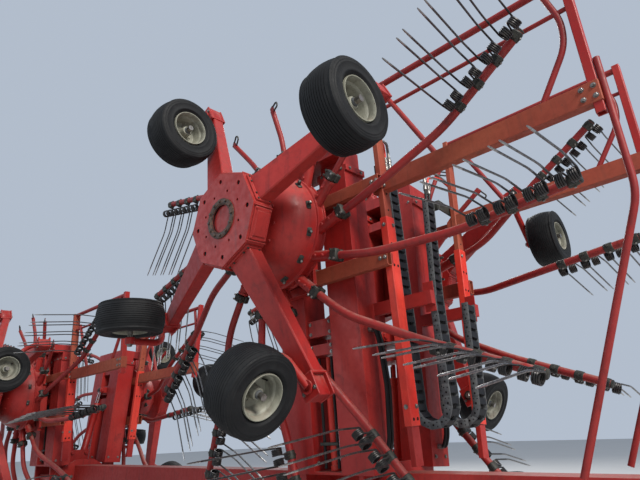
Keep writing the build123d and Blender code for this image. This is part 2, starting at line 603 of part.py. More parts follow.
def main_frame():
    frame = box(SPINE_BACK, SPINE_FRONT, -SPINE_Y / 2, SPINE_Y / 2, SPINE_LOW, SPINE_TOP)
    for station, x, hub_height in STATIONS:
        frame += station_bracket(x + MAST_AHEAD)
    frame += road_axle()
    frame += bar((JACK_X, 0, SPINE_LOW - 40), (JACK_X, 0, SPINE_TOP + JACK_ABOVE), JACK_SLEEVE * 1.1, 12)
    frame += bar((HEAD_X, 0, SPINE_LOW - 5), (HEAD_X, 0, SPINE_TOP + 5), HEAD_SLEEVE_R, 12)
    frame += box(SPINE_FRONT - 2, HEAD_X, -60, 60, SPINE_LOW + 10, SPINE_TOP - 10)
    frame -= bore((HEAD_X, 0, SPINE_LOW - 10), (HEAD_X, 0, SPINE_TOP + 10), PIN_R)
    return frame - bore((JACK_X, 0, SPINE_LOW - 50), (JACK_X, 0, SPINE_TOP + JACK_ABOVE + 10), JACK_R)


def station_bracket(x):
    """Two ears with the fold pins, and the tower that the fold cylinders push from."""
    reach = PIVOT_Y + EAR_ROUND
    knee = reach - 60
    low, high = PIVOT_Z - EAR_ROUND, PIVOT_Z + EAR_ROUND
    half = SPINE_Y / 2
    ear = plate([(knee, low), (reach, PIVOT_Z), (knee, high), (half, SPINE_TOP + 60)], EAR_THICK)
    width, peak = RAM_FOOT_Y + 40, RAM_FOOT_Z + RAM_EYE_R
    tower = plate([(half, SPINE_TOP - 20), (width, peak)], TOWER_THICK)
    tower_x = RAM_R + 16
    shapes = []
    for side in (-1, 1):
        shapes.append(Pos(x + side * EAR_X, 0, 0) * ear)
        shapes.append(Pos(x + side * tower_x, 0, 0) * tower)
        shapes += pin(x, side * PIVOT_Y, PIVOT_Z, EAR_X, EAR_THICK, PIN_R)
        shapes += pin(x, side * RAM_FOOT_Y, RAM_FOOT_Z, tower_x, TOWER_THICK, RAM_PIN_R)
    return shapes


def plate(half, thick):
    """Plate across the machine from the corners of its left-hand half, as Y and Z."""
    outline = half + [(-y, z) for y, z in half[::-1]]
    return extrude(Plane.YZ * make_face(Polyline(*outline, close=True)), thick / 2, both=True)


def pin(x, y, z, plates, thick, radius):
    """Round pin between two plates, with a flat-sided head outside each."""
    shapes = [rod((x - plates, y, z), (x + plates, y, z), radius)]
    for side in (-1, 1):
        face = x + side * (plates + thick / 2 - 1)
        shapes.append(bar((face, y, z), (face + side * PIN_PROUD, y, z), radius * 1.3, 6))
    return shapes


def road_axle():
    half = ROAD_TRACK / 2
    inner = half - 290
    edge = AXLE_BEAM / 2
    shapes = [box(ROAD_X - edge, ROAD_X + edge, -inner, inner, ROAD_R - edge, ROAD_R + edge)]
    for side in (-1, 1):
        stub, tip = side * (inner - 10), side * (half + 120)
        shapes.append(rod((ROAD_X, stub, ROAD_R), (ROAD_X, tip, ROAD_R), ROAD_AXLE_R))
        foot, peak = (ROAD_X, side * (inner - 70), ROAD_R), (ROAD_X, side * 100, SPINE_LOW + 60)
        shapes.append(beam(foot, peak, *STRUT, (1, 0, 0)))
    return shapes


# Fold cylinders

def ram_geometry(x):
    """Foot and rod eye of a right-hand fold cylinder, in the machine's frame."""
    lean = radians(LEAN)
    inward, up = RAM_HEAD
    y = inward * cos(lean) - up * sin(lean) - PIVOT_Y
    z = inward * sin(lean) + up * cos(lean) + PIVOT_Z
    return Vector(x, -RAM_FOOT_Y, RAM_FOOT_Z), Vector(x, y, z)


def ram_barrel(x, side):
    foot, head = ram_geometry(x)
    axis = (head - foot).normalized()
    across = Vector(RAM_EYE_R, 0, 0)
    barrel = bar(foot + axis * 20, foot + axis * RAM_BARREL, RAM_R, RAM_SIDES)
    barrel += bar(foot - across, foot + across, RAM_EYE_R, 10)
    barrel -= bore(foot - across * 1.1, foot + across * 1.1, RAM_PIN_R)
    barrel -= bar(foot + axis * 70, foot + axis * (RAM_BARREL + 1), ROD_R + ROD_FIT, RAM_SIDES)
    return barrel if side == "right" else mirror(barrel, about=Plane.XZ)


def ram_rod(x, side):
    foot, head = ram_geometry(x)
    axis = (head - foot).normalized()
    across = Vector(RAM_EYE_R, 0, 0)
    shape = bar(foot + axis * 90, head - axis * 20, ROD_R, RAM_SIDES)
    shape += bar(head - across, head + across, RAM_EYE_R, 10)
    shape -= bore(head - across * 1.1, head + across * 1.1, RAM_PIN_R)
    return shape if side == "right" else mirror(shape, about=Plane.XZ)


# Drawbar head and jack

def drawbar_head():
    """Hitch frame with two lower link pins and a mast plate."""
    low, top = SPINE_LOW - HEAD_REACH, SPINE_TOP + HEAD_REACH
    shape = rod((HEAD_X, 0, low), (HEAD_X, 0, top), PIN_R)
    for z in (low - HEAD_PLATE, top):
        shape += box(HEAD_X - 75, HEAD_X + 200, -75, 75, z, z + HEAD_PLATE)
    link_x, link_z = HEAD_X + LINK_AHEAD, low - LINK_DROP
    wide, tall = LINK_BEAM[0] / 2, LINK_BEAM[1] / 2
    shape += box(link_x - 35, link_x + 35, -90, 90, link_z, top + HEAD_PLATE)
    shoulder = LINK_SPREAD / 2
    shape += box(link_x - wide, link_x + wide, -shoulder, shoulder, link_z - tall, link_z + tall)
    for side in (-1, 1):
        root, tip = side * (shoulder - 20), side * (shoulder + LINK_LENGTH)
        shape += rod((link_x, root, link_z), (link_x, tip, link_z), LINK_R)
    return shape


def jack_leg():
    leg = rod((JACK_X, 0, JACK_FOOT - 2), (JACK_X, 0, SPINE_TOP + JACK_ABOVE + JACK_PROUD), JACK_R)
    return leg + bar((JACK_X, 0, 0), (JACK_X, 0, JACK_FOOT), JACK_FOOT_R, 12)


def build():
    nodes = {
        "main_frame": main_frame(),
        "drawbar_head": drawbar_head(),
        "jack_leg": jack_leg(),
    }
    for side, sign in (("right", -1), ("left", 1)):
        at = Plane(origin=(ROAD_X, sign * ROAD_TRACK / 2, ROAD_R), x_dir=(1, 0, 0), z_dir=(0, sign, 0))
        nodes["road_rim_" + side] = at * road_rim()
        nodes["road_tyre_" + side] = at * road_tyre()
    hub, dome, arms = chassis(), bell(), tine_arms()
    for station, x, hub_height in STATIONS:
        full = station == "front"
        outer, inner = outer_boom(hub_height, full), inner_boom(hub_height)
        guard = guard_frame(hub_height, full)
        for side in SIDES:
            tag = "_" + station + "_" + side
            nodes["boom_outer" + tag] = placed(outer, x, side)
            nodes["boom_inner" + tag] = placed(inner, x, side)
            nodes["guard_frame" + tag] = placed(guard, x, side)
            nodes["wheel_chassis" + tag] = placed(in_unit(hub, hub_height), x, side)
            nodes["rotor_bell" + tag] = placed(in_unit(dome, hub_height), x, side)
            nodes["tine_arms" + tag] = Compound([placed(in_unit(arm, hub_height), x, side) for arm in arms])
            nodes["ram_barrel" + tag] = ram_barrel(x + MAST_AHEAD, side)
            nodes["ram_rod" + tag] = ram_rod(x + MAST_AHEAD, side)
            if full:
                nodes["energy_chain" + tag] = placed(energy_chain(hub_height), x, side)
                nodes["hoses" + tag] = placed(hoses(hub_height), x, side)
            for name, shape in ground_wheels(x, hub_height, side).items():
                nodes["wheel_" + name + tag] = shape
    return nodes


os.makedirs("parts", exist_ok=True)
for name, shape in build().items():
    export_step(shape, "parts/" + name + ".step")
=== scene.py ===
# Looks of the folded rotary rake. Metres, in the CAD's frame: X forward, Y left, Z up.
import bmesh
import bpy
from math import cos, pi, radians, sin
from mathutils import Matrix, Vector


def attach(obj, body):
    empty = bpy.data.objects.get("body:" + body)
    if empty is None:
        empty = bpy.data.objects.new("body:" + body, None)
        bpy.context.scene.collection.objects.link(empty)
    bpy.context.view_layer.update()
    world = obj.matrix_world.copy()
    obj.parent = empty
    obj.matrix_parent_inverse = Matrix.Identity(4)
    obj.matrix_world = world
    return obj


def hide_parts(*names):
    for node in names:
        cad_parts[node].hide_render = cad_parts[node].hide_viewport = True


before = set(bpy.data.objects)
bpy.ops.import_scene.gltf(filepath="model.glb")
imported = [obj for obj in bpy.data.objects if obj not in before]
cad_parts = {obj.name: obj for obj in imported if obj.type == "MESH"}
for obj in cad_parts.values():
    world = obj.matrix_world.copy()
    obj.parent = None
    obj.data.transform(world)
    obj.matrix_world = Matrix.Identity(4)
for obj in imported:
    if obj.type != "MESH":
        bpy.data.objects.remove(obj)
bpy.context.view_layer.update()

# Stations: name, X of the booms' pivots, height of the rotors' axes above them
STATIONS = [("front", 1.9, 1.65), ("rear", -2.75, 0.95)]
SIDES = ["right", "left"]
# A unit's frame stands at its boom's pivot and leans inwards; Y is inboard on the right
LEAN = radians(3.0)
PIVOT_Y, PIVOT_Z = 0.3, 1.115
HUB_Y, MAST_X = -0.79, 0.1

# Arms round the rotor. Angles are in degrees where radians() isn't written.
ARMS, FIRST_ARM = 13, -3.0
SPARE_ARMS, LIFTED_ARMS = [1, 2, 3, 4], [5, 6, 7, 8]
LIFT, DROOP = radians(76.0), radians(-8.0)  # turn of the tines about their bar
SWING = -5.0                                # turn of a lifted arm's bar about the rotor
ARM_OFF, CLAMP_RADIUS, SKEW = 0.49, 0.53, radians(18.7)
BAR_START, BAR_END = Vector((1.225, 0.612, 0.356)), Vector((1.735, 0.622, 0.74))
BAR_RADIUS, SPARE_RADIUS, SOCKET_LENGTH = 0.0245, 0.0195, 0.235
PAIRS, FIRST_PAIR, PAIR_PITCH = 4, 0.142, 0.146
COIL_TURNS, COIL_RADIUS, COIL_PITCH, COIL_WIRE = 4, 0.0295, 0.0098, 0.0052
TINE_WIRE = 0.0054

# Ground wheels: name, X and Z from the rotor's axis, the axle's turn, bend of the fork's tube
WHEELS = [
    ("a", -0.298, 0.699, 0.0, (-0.445, 0.0, 0.9)),
    ("b", 1.107, 0.183, 0.0, (0.957, 0.12, 0.42)),
    ("c", 0.364, -1.04, -25.0, (0.292, 0.17, -0.833)),
    ("d", -0.905, -0.467, 90.0, (-0.93, 0.165, -0.617)),
]
WHEEL_OFF = -0.095
CHASSIS_ARMS = [113.8, 23.8, -66.2, -156.2]
ROAD_WHEEL = (-0.55, 1.05, 0.47)


# Materials

class Graph:
    """A material's nodes, built from the shader back."""

    def __init__(self, name, rough, metal=0.0, specular=0.5):
        self.material = bpy.data.materials.new(name)
        self.material.use_nodes = True
        self.nodes, self.links = self.material.node_tree.nodes, self.material.node_tree.links
        self.shader = self.nodes["Principled BSDF"]
        self.shader.inputs["Roughness"].default_value = rough
        self.shader.inputs["Metallic"].default_value = metal
        self.shader.inputs["Specular IOR Level"].default_value = specular
        coordinates = self.nodes.new("ShaderNodeTexCoord")
        self.place, self.facing = coordinates.outputs["Object"], coordinates.outputs["Normal"]

    def node(self, kind, sockets=(), **settings):
        node = self.nodes.new("ShaderNode" + kind)
        for key, value in settings.items():
            setattr(node, key, value)
        for key, value in dict(sockets).items():
            if isinstance(value, bpy.types.NodeSocket):
                self.links.new(value, node.inputs[key])
            else:
                node.inputs[key].default_value = value
        return node

    def noise(self, scale, detail=3.0, rough=0.55, stretch=None):
        place = self.place
        if stretch:
            place = self.node("Mapping", {"Vector": place, "Scale": stretch}).outputs[0]
        sockets = {"Vector": place, "Scale": scale, "Detail": detail, "Roughness": rough}
        return self.node("TexNoise", sockets).outputs[0]

    def band(self, value, low, high, to_low=0.0, to_high=1.0):
        sockets = {0: value, 1: low, 2: high, 3: to_low, 4: to_high}
        return self.node("MapRange", sockets).outputs[0]

    def math(self, kind, a, b):
        return self.node("Math", {0: a, 1: b}, operation=kind).outputs[0]

    def mix(self, factor, a, b):
        return self.node("Mix", {0: factor, 6: a, 7: b}, data_type="RGBA").outputs[2]

    def bump(self, height, distance, normal=None):
        sockets = {"Height": height, "Distance": distance, "Strength": 0.6}
        if normal:
            sockets["Normal"] = normal
        return self.node("Bump", sockets).outputs[0]

    def finish(self, color, rough=None, normal=None):
        self.links.new(color, self.shader.inputs["Base Color"])
        if rough:
            self.links.new(rough, self.shader.inputs["Roughness"])
        if normal:
            self.links.new(normal, self.shader.inputs["Normal"])
        return self.material


def rgb(r, g, b):
    return (r, g, b, 1.0)


DUST, RUST = rgb(0.27, 0.20, 0.165), rgb(0.10, 0.045, 0.03)


def paint(name, fresh, faded, dirt, rough=0.42, grime=0.5, chips=0.5, edge=0.004):
    """Old paint: sun-faded in clouds, rain streaks, dust on top, chips and worn edges."""
    g = Graph(name, rough, specular=0.32)
    shade = rgb(*(c * 0.5 for c in fresh[:3]))
    primer = rgb(*(min(1.0, c * 1.35 + 0.03) for c in faded[:3]))
    clouds = g.noise(1.7, 5.0, 0.6)
    fine = g.noise(26.0, 7.0, 0.66)
    streaks = g.noise(1.0, 5.0, 0.6, (26.0, 26.0, 1.6))
    color = g.mix(g.band(clouds, 0.36, 0.66), fresh, faded)
    color = g.mix(g.band(fine, 0.42, 0.75, 0.0, 0.34), color, shade)
    color = g.mix(g.band(streaks, 0.52, 0.78, 0.0, grime), color, dirt)
    blots = g.band(g.noise(7.0, 6.0, 0.72), 0.56, 0.70)
    spots = g.math("MULTIPLY", blots, g.band(clouds, 0.40, 0.62))
    color = g.mix(g.math("MULTIPLY", spots, grime), color, dirt)
    up = g.node("SeparateXYZ", {0: g.facing}).outputs[2]
    dust = g.math("MULTIPLY", g.band(up, 0.35, 0.95, 0.0, 0.55), g.band(fine, 0.34, 0.62))
    color = g.mix(dust, color, DUST)
    chip = g.band(g.noise(62.0, 4.0, 0.6), 0.685, 0.70, 0.0, chips)
    color = g.mix(chip, color, RUST)
    # an edge is where the rounded normal leaves the face's own
    soft = g.node("Bevel", {"Radius": edge}, samples=4).outputs[0]
    flat = g.node("NewGeometry").outputs["Normal"]
    meet = g.node("VectorMath", {0: soft, 1: flat}, operation="DOT_PRODUCT").outputs["Value"]
    worn = g.math("MULTIPLY", g.band(meet, 0.985, 0.90), g.band(fine, 0.40, 0.60, 0.0, 0.75))
    color = g.mix(worn, color, primer)
    gloss = g.band(fine, 0.3, 0.7, rough - 0.08, rough + 0.16)
    gloss = g.math("ADD", gloss, g.math("MULTIPLY", dust, 0.4))
    relief = g.math("ADD", g.math("MULTIPLY", fine, 0.35), g.math("MULTIPLY", chip, -1.0))
    return g.finish(color, gloss, g.bump(relief, 0.0012, soft))


def metal(name, color, dark, rough, metallic=1.0, scale=30.0):
    """Bare or plated metal with tarnish."""
    g = Graph(name, rough, metallic)
    fine = g.noise(scale, 6.0, 0.65)
    tone = g.mix(g.band(fine, 0.38, 0.68), color, dark)
    gloss = g.band(fine, 0.3, 0.7, rough - 0.08, rough + 0.15)
    return g.finish(tone, gloss, g.bump(fine, 0.0006))


def rubber(name, color, dust, rough=0.62):
    """Black rubber or plastic with dust held in its grain; also the near-black painted shade of holes
    and bores.
    """
    g = Graph(name, rough, specular=0.22)
    clouds, fine = g.noise(5.0, 5.0, 0.6), g.noise(22.0, 8.0, 0.7)
    dusty = g.math("MULTIPLY", g.band(clouds, 0.38, 0.7), g.band(fine, 0.35, 0.68))
    gloss = g.band(fine, 0.3, 0.7, rough - 0.06, rough + 0.2)
    return g.finish(g.mix(dusty, color, dust), gloss, g.bump(g.noise(180.0, 4.0, 0.7), 0.0005))


def greasy(name):
    """Rusty flange under old grease and chaff."""
    g = Graph(name, 0.5, 0.25)
    lumps, fine = g.noise(38.0, 6.0, 0.7), g.noise(120.0, 5.0, 0.7)
    grease, rust, chaff = rgb(0.020, 0.016, 0.013), rgb(0.095, 0.045, 0.028), rgb(0.17, 0.13, 0.085)
    tone = g.mix(g.band(lumps, 0.40, 0.60), grease, rust)
    tone = g.mix(g.band(fine, 0.60, 0.72, 0.0, 0.5), tone, chaff)
    return g.finish(tone, g.band(lumps, 0.3, 0.7, 0.28, 0.75), g.bump(lumps, 0.004))


MATERIALS = {
    "red": paint("red_paint", rgb(0.272, 0.0095, 0.0085), rgb(0.320, 0.024, 0.019),
                 rgb(0.036, 0.008, 0.009)),
    "red_arm": paint("arm_paint", rgb(0.200, 0.0085, 0.0090), rgb(0.250, 0.021, 0.018),
                     rgb(0.026, 0.009, 0.009), 0.46),
    "red_bright": paint("bright_red_paint", rgb(0.56, 0.022, 0.013), rgb(0.56, 0.050, 0.030),
                        rgb(0.08, 0.02, 0.015), 0.36, 0.3, 0.4),
    "faded": paint("faded_paint", rgb(0.235, 0.036, 0.018), rgb(0.285, 0.062, 0.030),
                   rgb(0.07, 0.024, 0.015), 0.6, 0.4),
    "cream": paint("cream_paint", rgb(0.185, 0.185, 0.145), rgb(0.270, 0.270, 0.225),
                   rgb(0.055, 0.048, 0.036), 0.5, 0.8, 0.7, 0.002),
    "rubber": rubber("tyre_rubber", rgb(0.0042, 0.0047, 0.0058), rgb(0.017, 0.018, 0.019)),
    "hose": rubber("hose_rubber", rgb(0.008, 0.008, 0.009), rgb(0.030, 0.028, 0.026), 0.45),
    "chain": rubber("chain_plastic", rgb(0.060, 0.066, 0.072), rgb(0.135, 0.138, 0.138), 0.6),
    "chain_bar": rubber("chain_bars", rgb(0.006, 0.007, 0.010), rgb(0.022, 0.023, 0.026), 0.5),
    # near-black painted shade, put in the mouths of holes and down bores where their insides would be
    # in shadow
    "dark": rubber("painted_hole_shade", rgb(0.003, 0.002, 0.002), rgb(0.007, 0.006, 0.006), 0.8),
    "spring": metal("spring_steel", rgb(0.012, 0.012, 0.014), rgb(0.035, 0.030, 0.027), 0.4, 0.4),
    "tine": metal("tine_steel", rgb(0.165, 0.160, 0.160), rgb(0.060, 0.054, 0.050), 0.30, 0.95, 60.0),
    "tip": metal("worn_tips", rgb(0.42, 0.41, 0.40), rgb(0.17, 0.16, 0.15), 0.26, 1.0, 90.0),
    "clamp": metal("clamp_black", rgb(0.013, 0.014, 0.013), rgb(0.045, 0.045, 0.036), 0.55, 0.3),
    "zinc": metal("zinc_bolts", rgb(0.30, 0.29, 0.28), rgb(0.10, 0.085, 0.07), 0.4, 0.9, 70.0),
    "chrome": metal("rod_chrome", rgb(0.72, 0.72, 0.72), rgb(0.55, 0.55, 0.55), 0.1, 1.0, 12.0),
    "grease": greasy("greasy_rust"),
}
# The first row whose start fits a CAD node's name gives its material
NODE_MATERIALS = [
    ("guard_frame", "faded"), ("energy_chain", "chain"), ("hoses", "hose"), ("tine_arms", "red_arm"),
    ("ram_rod", "chrome"), ("ram_barrel", "red"), ("jack_leg", "zinc"), ("road_tyre", "rubber"),
    ("road_rim", "cream"), ("wheel_chassis", "red"), ("wheel_", "rubber"), ("", "red"),
]
for name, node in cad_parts.items():
    kind = next(material for start, material in NODE_MATERIALS if name.startswith(start))
    node.data.materials.clear()
    node.data.materials.append(MATERIALS[kind])


# Mesh code: a shape is a list of points and a list of faces

def frame_at(origin, z_dir, x_dir=None):
    """Matrix whose Z runs along z_dir and whose X lies near x_dir."""
    z = Vector(z_dir).normalized()
    x = Vector(x_dir) if x_dir else z.orthogonal()
    x = (x - z * x.dot(z)).normalized()
    matrix = Matrix((x, z.cross(x), z)).transposed().to_4x4()
    matrix.translation = origin
    return matrix


def moved(x, y, z):
    return Matrix.Translation((x, y, z))


def turns(count, start=0.0):
    """Angles round a full circle."""
    return [start + 2 * pi * k / count for k in range(count)]


def loft(rings, loop=False):
    """Skin through rings of corners; a loop joins the last ring to the first."""
    sides, count = len(rings[0]), len(rings)
    faces = []
    for low in range(count if loop else count - 1):
        high = (low + 1) % count
        for k in range(sides):
            j = (k + 1) % sides
            faces.append((low * sides + k, low * sides + j, high * sides + j, high * sides + k))
    if not loop:
        faces.append(tuple(reversed(range(sides))))
        faces.append(tuple((count - 1) * sides + k for k in range(sides)))
    return [point for ring in rings for point in ring], faces


def lathe(profile, sides, loop=False):
    """Body turned about Z; the profile's rows are radius, height."""
    rings = [[Vector((r * cos(t), r * sin(t), z)) for t in turns(sides)] for r, z in profile]
    return loft(rings, loop)


def sweep(path, radius, sides):
    """Round bar along a path; radius is one number, or one for each point."""
    last = len(path) - 1
    side = (path[1] - path[0]).orthogonal()
    rings = []
    for k, point in enumerate(path):
        along = (path[min(k + 1, last)] - path[max(k - 1, 0)]).normalized()
        side = (side - along * side.dot(along)).normalized()
        other = along.cross(side)
        r = radius[k] if isinstance(radius, list) else radius
        rings.append([point + side * (r * cos(t)) + other * (r * sin(t)) for t in turns(sides)])
    return loft(rings)


def rounded(points, radius, steps=5):
    """Path whose corners are bends."""
    points = [Vector(p) for p in points]
    path = [points[0]]
    for before, corner, after in zip(points, points[1:], points[2:]):
        back, ahead = before - corner, after - corner
        reach = min(radius, back.length * 0.45, ahead.length * 0.45)
        start, end = corner + back.normalized() * reach, corner + ahead.normalized() * reach
        for k in range(steps + 1):
            t = k / steps
            path.append(start * (1 - t) ** 2 + corner * (2 * t * (1 - t)) + end * t * t)
    return path + [points[-1]]


def outline(x, y, bevel):
    """Rectangle with cut corners, in the XY plane."""
    corners = [(x - bevel, -y), (x, bevel - y), (x, y - bevel), (x - bevel, y),
               (bevel - x, y), (-x, y - bevel), (-x, bevel - y), (bevel - x, -y)]
    return [Vector((a, b, 0)) for a, b in corners]


def block(x, y, z, bevel=0.002):
    """Box of that full size with cut edges."""
    x, y, z = x / 2, y / 2, z / 2
    rings = []
    for height, inset in ((-z, bevel), (bevel - z, 0), (z - bevel, 0), (z, bevel)):
        corners = outline(x - inset, y - inset, bevel)
        rings.append([p + Vector((0, 0, height)) for p in corners])
    return loft(rings)


def channel(x, y, wall, length):
    """Rectangular tube along Z, open at both ends."""
    outer, inner = outline(x / 2, y / 2, 0.003), outline(x / 2 - wall, y / 2 - wall, 0.003)
    up = Vector((0, 0, length))
    return loft([outer, [p + up for p in outer], [p + up for p in inner], inner], True)


def plate(outlines, depth):
    """Flat plate with holes, by Blender's curve fill: lists of points, the rim first."""
    curve = bpy.data.curves.new("plate", "CURVE")
    curve.dimensions, curve.fill_mode, curve.extrude = "2D", "BOTH", depth / 2
    for points in outlines:
        spline = curve.splines.new("POLY")
        spline.points.add(len(points) - 1)
        spline.use_cyclic_u = True
        for point, (x, y) in zip(spline.points, points):
            point.co = (x, y, 0, 1)
    holder = bpy.data.objects.new("plate", curve)
    mesh = bpy.data.meshes.new_from_object(holder)
    shape = [v.co.copy() for v in mesh.vertices], [tuple(p.vertices) for p in mesh.polygons]
    bpy.data.objects.remove(holder)
    bpy.data.curves.remove(curve)
    bpy.data.meshes.remove(mesh)
    return shape


def circle(x, y, radius, sides=16):
    return [(x + radius * cos(t), y + radius * sin(t)) for t in turns(sides)]


class Piece:
    """Faces gathered in one frame, then made into one object."""

    def __init__(self):
        self.points, self.faces, self.slots, self.kinds = [], [], [], []

    def slot_of(self, kind):
        if kind not in self.kinds:
            self.kinds.append(kind)
        return self.kinds.index(kind)

    def add(self, shape, kind, at=None):
        points, faces = shape
        start = len(self.points)
        self.points += [at @ p for p in points] if at else points
        self.faces += [[start + k for k in face] for face in faces]
        self.slots += [self.slot_of(kind)] * len(faces)

    def merge(self, other, at):
        """Take in another piece's faces, moved into place."""
        start = len(self.points)
        self.points += [at @ p for p in other.points]
        self.faces += [[start + k for k in face] for face in other.faces]
        self.slots += [self.slot_of(other.kinds[slot]) for slot in other.slots]

    def bolt(self, at, normal, size, kind="zinc", washer=True):
        """Hexagonal head on its washer; size is half the width across corners."""
        place = frame_at(at, normal)
        if washer:
            self.add(lathe([(size * 1.35, 0), (size * 1.35, size * 0.25)], 12), kind, place)
        head = [(size, size * 0.2), (size, size * 0.8), (size * 0.84, size * 0.95)]
        self.add(lathe(head, 6), kind, place)

    def painted_shade_disc(self, place, radius, sides, depth=0.001, proud=0.001):
        """Short dark disc of painted shade in the mouth of a bore, standing for its shadowed inside.
        """
        self.add(lathe([(radius, -depth), (radius, proud)], sides), "dark", place)

    def tube(self, points, radius, kind, bend=0.08, sides=14):
        """Round tube with bends at the route's corners."""
        self.add(sweep(rounded(points, bend), radius, sides), kind)

    def make(self, name, matrix, body, slot, *replaces):
        mesh = bpy.data.meshes.new(name)
        mesh.from_pydata([matrix @ p for p in self.points], [], self.faces)
        for kind in self.kinds:
            mesh.materials.append(MATERIALS[kind])
        mesh.polygons.foreach_set("material_index", self.slots)
        mesh.polygons.foreach_set("use_smooth", [True] * len(self.faces))
        shell = bmesh.new()
        shell.from_mesh(mesh)
        bmesh.ops.recalc_face_normals(shell, faces=shell.faces)
        shell.to_mesh(mesh)
        shell.free()
        mesh.set_sharp_from_angle(angle=radians(38))
        piece = bpy.data.objects.new(name, mesh)
        bpy.context.scene.collection.objects.link(piece)
        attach(piece, body)
        if replaces:
            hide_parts(*replaces)


def unit_matrix(x, side):
    right = moved(x, -PIVOT_Y, PIVOT_Z) @ Matrix.Rotation(LEAN, 4, "X")
    return right if side == "right" else Matrix.Diagonal((1, -1, 1, 1)) @ right


def spoke(angle):
    """Turn about the rotor's axis, from +X towards up."""
    return Matrix.Rotation(-radians(angle), 4, "Y")


def arm_turn(k):
    return spoke(FIRST_ARM + k * 360 / ARMS)


# Rotor: its frame has X forward, Y inboard along the axis, and Z up the boom

OUTBOARD = Vector((0, -1, 0))
SLEEVE = [(0.0255, -0.026), (0.0285, -0.023), (0.0295, -0.010), (0.0295, 0.010), (0.0285, 0.023),
          (0.0255, 0.026)]
BELL = [(0.070, 0.198), (0.165, 0.198), (0.172, 0.203), (0.214, 0.214), (0.250, 0.230),
        (0.292, 0.260), (0.330, 0.300), (0.356, 0.350), (0.374, 0.405), (0.381, 0.448),
        (0.394, 0.452), (0.394, 0.462), (0.384, 0.466), (0.384, 0.512), (0.394, 0.516),
        (0.394, 0.526), (0.384, 0.530), (0.300, 0.544), (0.212, 0.556), (0.208, 0.594),
        (0.070, 0.594)]


def coil_spring(piece, middle, run, drop, cross, sides, steps):
    """Two tight coils side by side, wound from one clip on the bar, and their two tines."""
    axis = middle + drop * 0.098
    for way in (-1, 1):
        path = [middle + drop * 0.024 + run * (way * 0.008) - cross * 0.020]
        for k in range(COIL_TURNS * steps + 1):
            t = 2 * pi * k / steps
            spot = axis + run * (way * (0.012 + COIL_PITCH * t / (2 * pi)))
            path.append(spot - cross * (COIL_RADIUS * cos(t)) + drop * (COIL_RADIUS * sin(t)))
        piece.add(sweep(path, COIL_WIRE, sides), "spring")
        start = path[-1]
        knee = start + drop * 0.175 - cross * 0.030
        tip, worn = knee + drop * 0.44, knee + drop * 0.36
        bend = rounded([start, knee, knee + drop * 0.13], 0.045, 5)
        piece.add(sweep(bend[:2], TINE_WIRE, 6), "spring")
        piece.add(sweep(bend[1:] + [worn], TINE_WIRE, 6), "tine")
        piece.add(sweep([worn, tip - drop * 0.02, tip], [TINE_WIRE, 0.0046, 0.0030], 6), "tip")
    piece.add(lathe(SLEEVE, 12), "clamp", frame_at(middle, run, drop))
    piece.add(block(0.024, 0.046, 0.046, 0.006), "clamp", frame_at(middle + drop * 0.027, run, drop))
    piece.bolt(middle - drop * 0.028, -drop, 0.0095, "clamp", False)
    piece.bolt(middle + cross * 0.028, cross, 0.0075, "zinc", False)


def socket_clamp(piece, foot, along):
    """Two-part clamp with its bolts at the mouth of a socket."""
    side = -OUTBOARD
    for way in (-1, 1):
        centre = foot + along * 0.03 + side * (way * 0.023)
        piece.add(block(0.040, 0.072, 0.056, 0.007), "clamp", frame_at(centre, along, side))
    across = side.cross(along)
    for way in (-1, 1):
        for shift in (0.014, 0.046):
            spot = foot + along * shift + across * (way * 0.027) - side * 0.043
            piece.bolt(spot, -side, 0.0085, "zinc" if way > 0 else "clamp", False)


def arm_foot():
    """An arm's start at the mouth of its socket, and its direction there."""
    return Vector((CLAMP_RADIUS + 0.001, ARM_OFF, 0)), Vector((cos(SKEW), 0, sin(SKEW)))


def tine_arm(lifted, fine):
    """Clamp, cranked tube and its pairs of tines; the cam turns a lifted arm back a little."""
    arm = Piece()
    lift, swing = (LIFT, SWING) if lifted else (DROOP, 0.0)
    bar_start, bar_end = [spoke(swing) @ p for p in (BAR_START, BAR_END)]
    foot, along = arm_foot()
    run = (bar_end - bar_start).normalized()
    end = bar_end - run * 0.028
    route = rounded([foot, foot + along * 0.3, bar_start, end], 0.11, 6)
    arm.add(sweep(route, BAR_RADIUS, 14 if fine else 10), "red_arm")
    cap = [(0.0255, -0.002), (0.0255, 0.006), (0.020, 0.010)]
    arm.add(lathe(cap, 12), "clamp", frame_at(end, run))
    socket_clamp(arm, foot, along)
    down = (OUTBOARD - run * OUTBOARD.dot(run)).normalized()
    side = run.cross(down).normalized()
    drop = down * cos(lift) - side * sin(lift)
    cross = side * cos(lift) + down * sin(lift)
    for k in range(PAIRS):
        middle = bar_start + run * (FIRST_PAIR + k * PAIR_PITCH)
        coil_spring(arm, middle, run, drop, cross, 5 if fine else 4, 12 if fine else 8)
    return arm


def spare_arm():
    """Clamp, short tube and black loop where an arm is taken off."""
    arm = Piece()
    foot, along = arm_foot()
    bend = foot + along * 0.43 + Vector((0, -0.04, 0))
    route = rounded([foot, foot + along * 0.2, bend], 0.05, 5)
    arm.add(sweep(route, SPARE_RADIUS, 14), "red_arm")
    way = (route[-1] - route[-2]).normalized()
    out = Vector((0.25, -0.35, -1)).normalized()
    flat = way.cross(out).normalized()
    arm.add(block(0.050, 0.012, 0.050, 0.005), "red_arm", frame_at(bend + way * 0.012, way, out))
    bow, straight, wire = 0.017, 0.022, 0.0065
    ring = []
    for t in turns(20):
        reach = straight if cos(t) > 0 else -straight
        ring.append(bend + way * (0.012 + bow * sin(t)) + out * (0.045 + reach + bow * cos(t)))
    rings = []
    for k, point in enumerate(ring):
        ahead = (ring[(k + 1) % len(ring)] - ring[k - 1]).normalized()
        wide = flat.cross(ahead)
        rings.append([point + flat * (wire * cos(a)) + wide * (wire * sin(a)) for a in turns(5)])
    arm.add(loft(rings, True), "clamp")
    socket_clamp(arm, foot, along)
    return arm


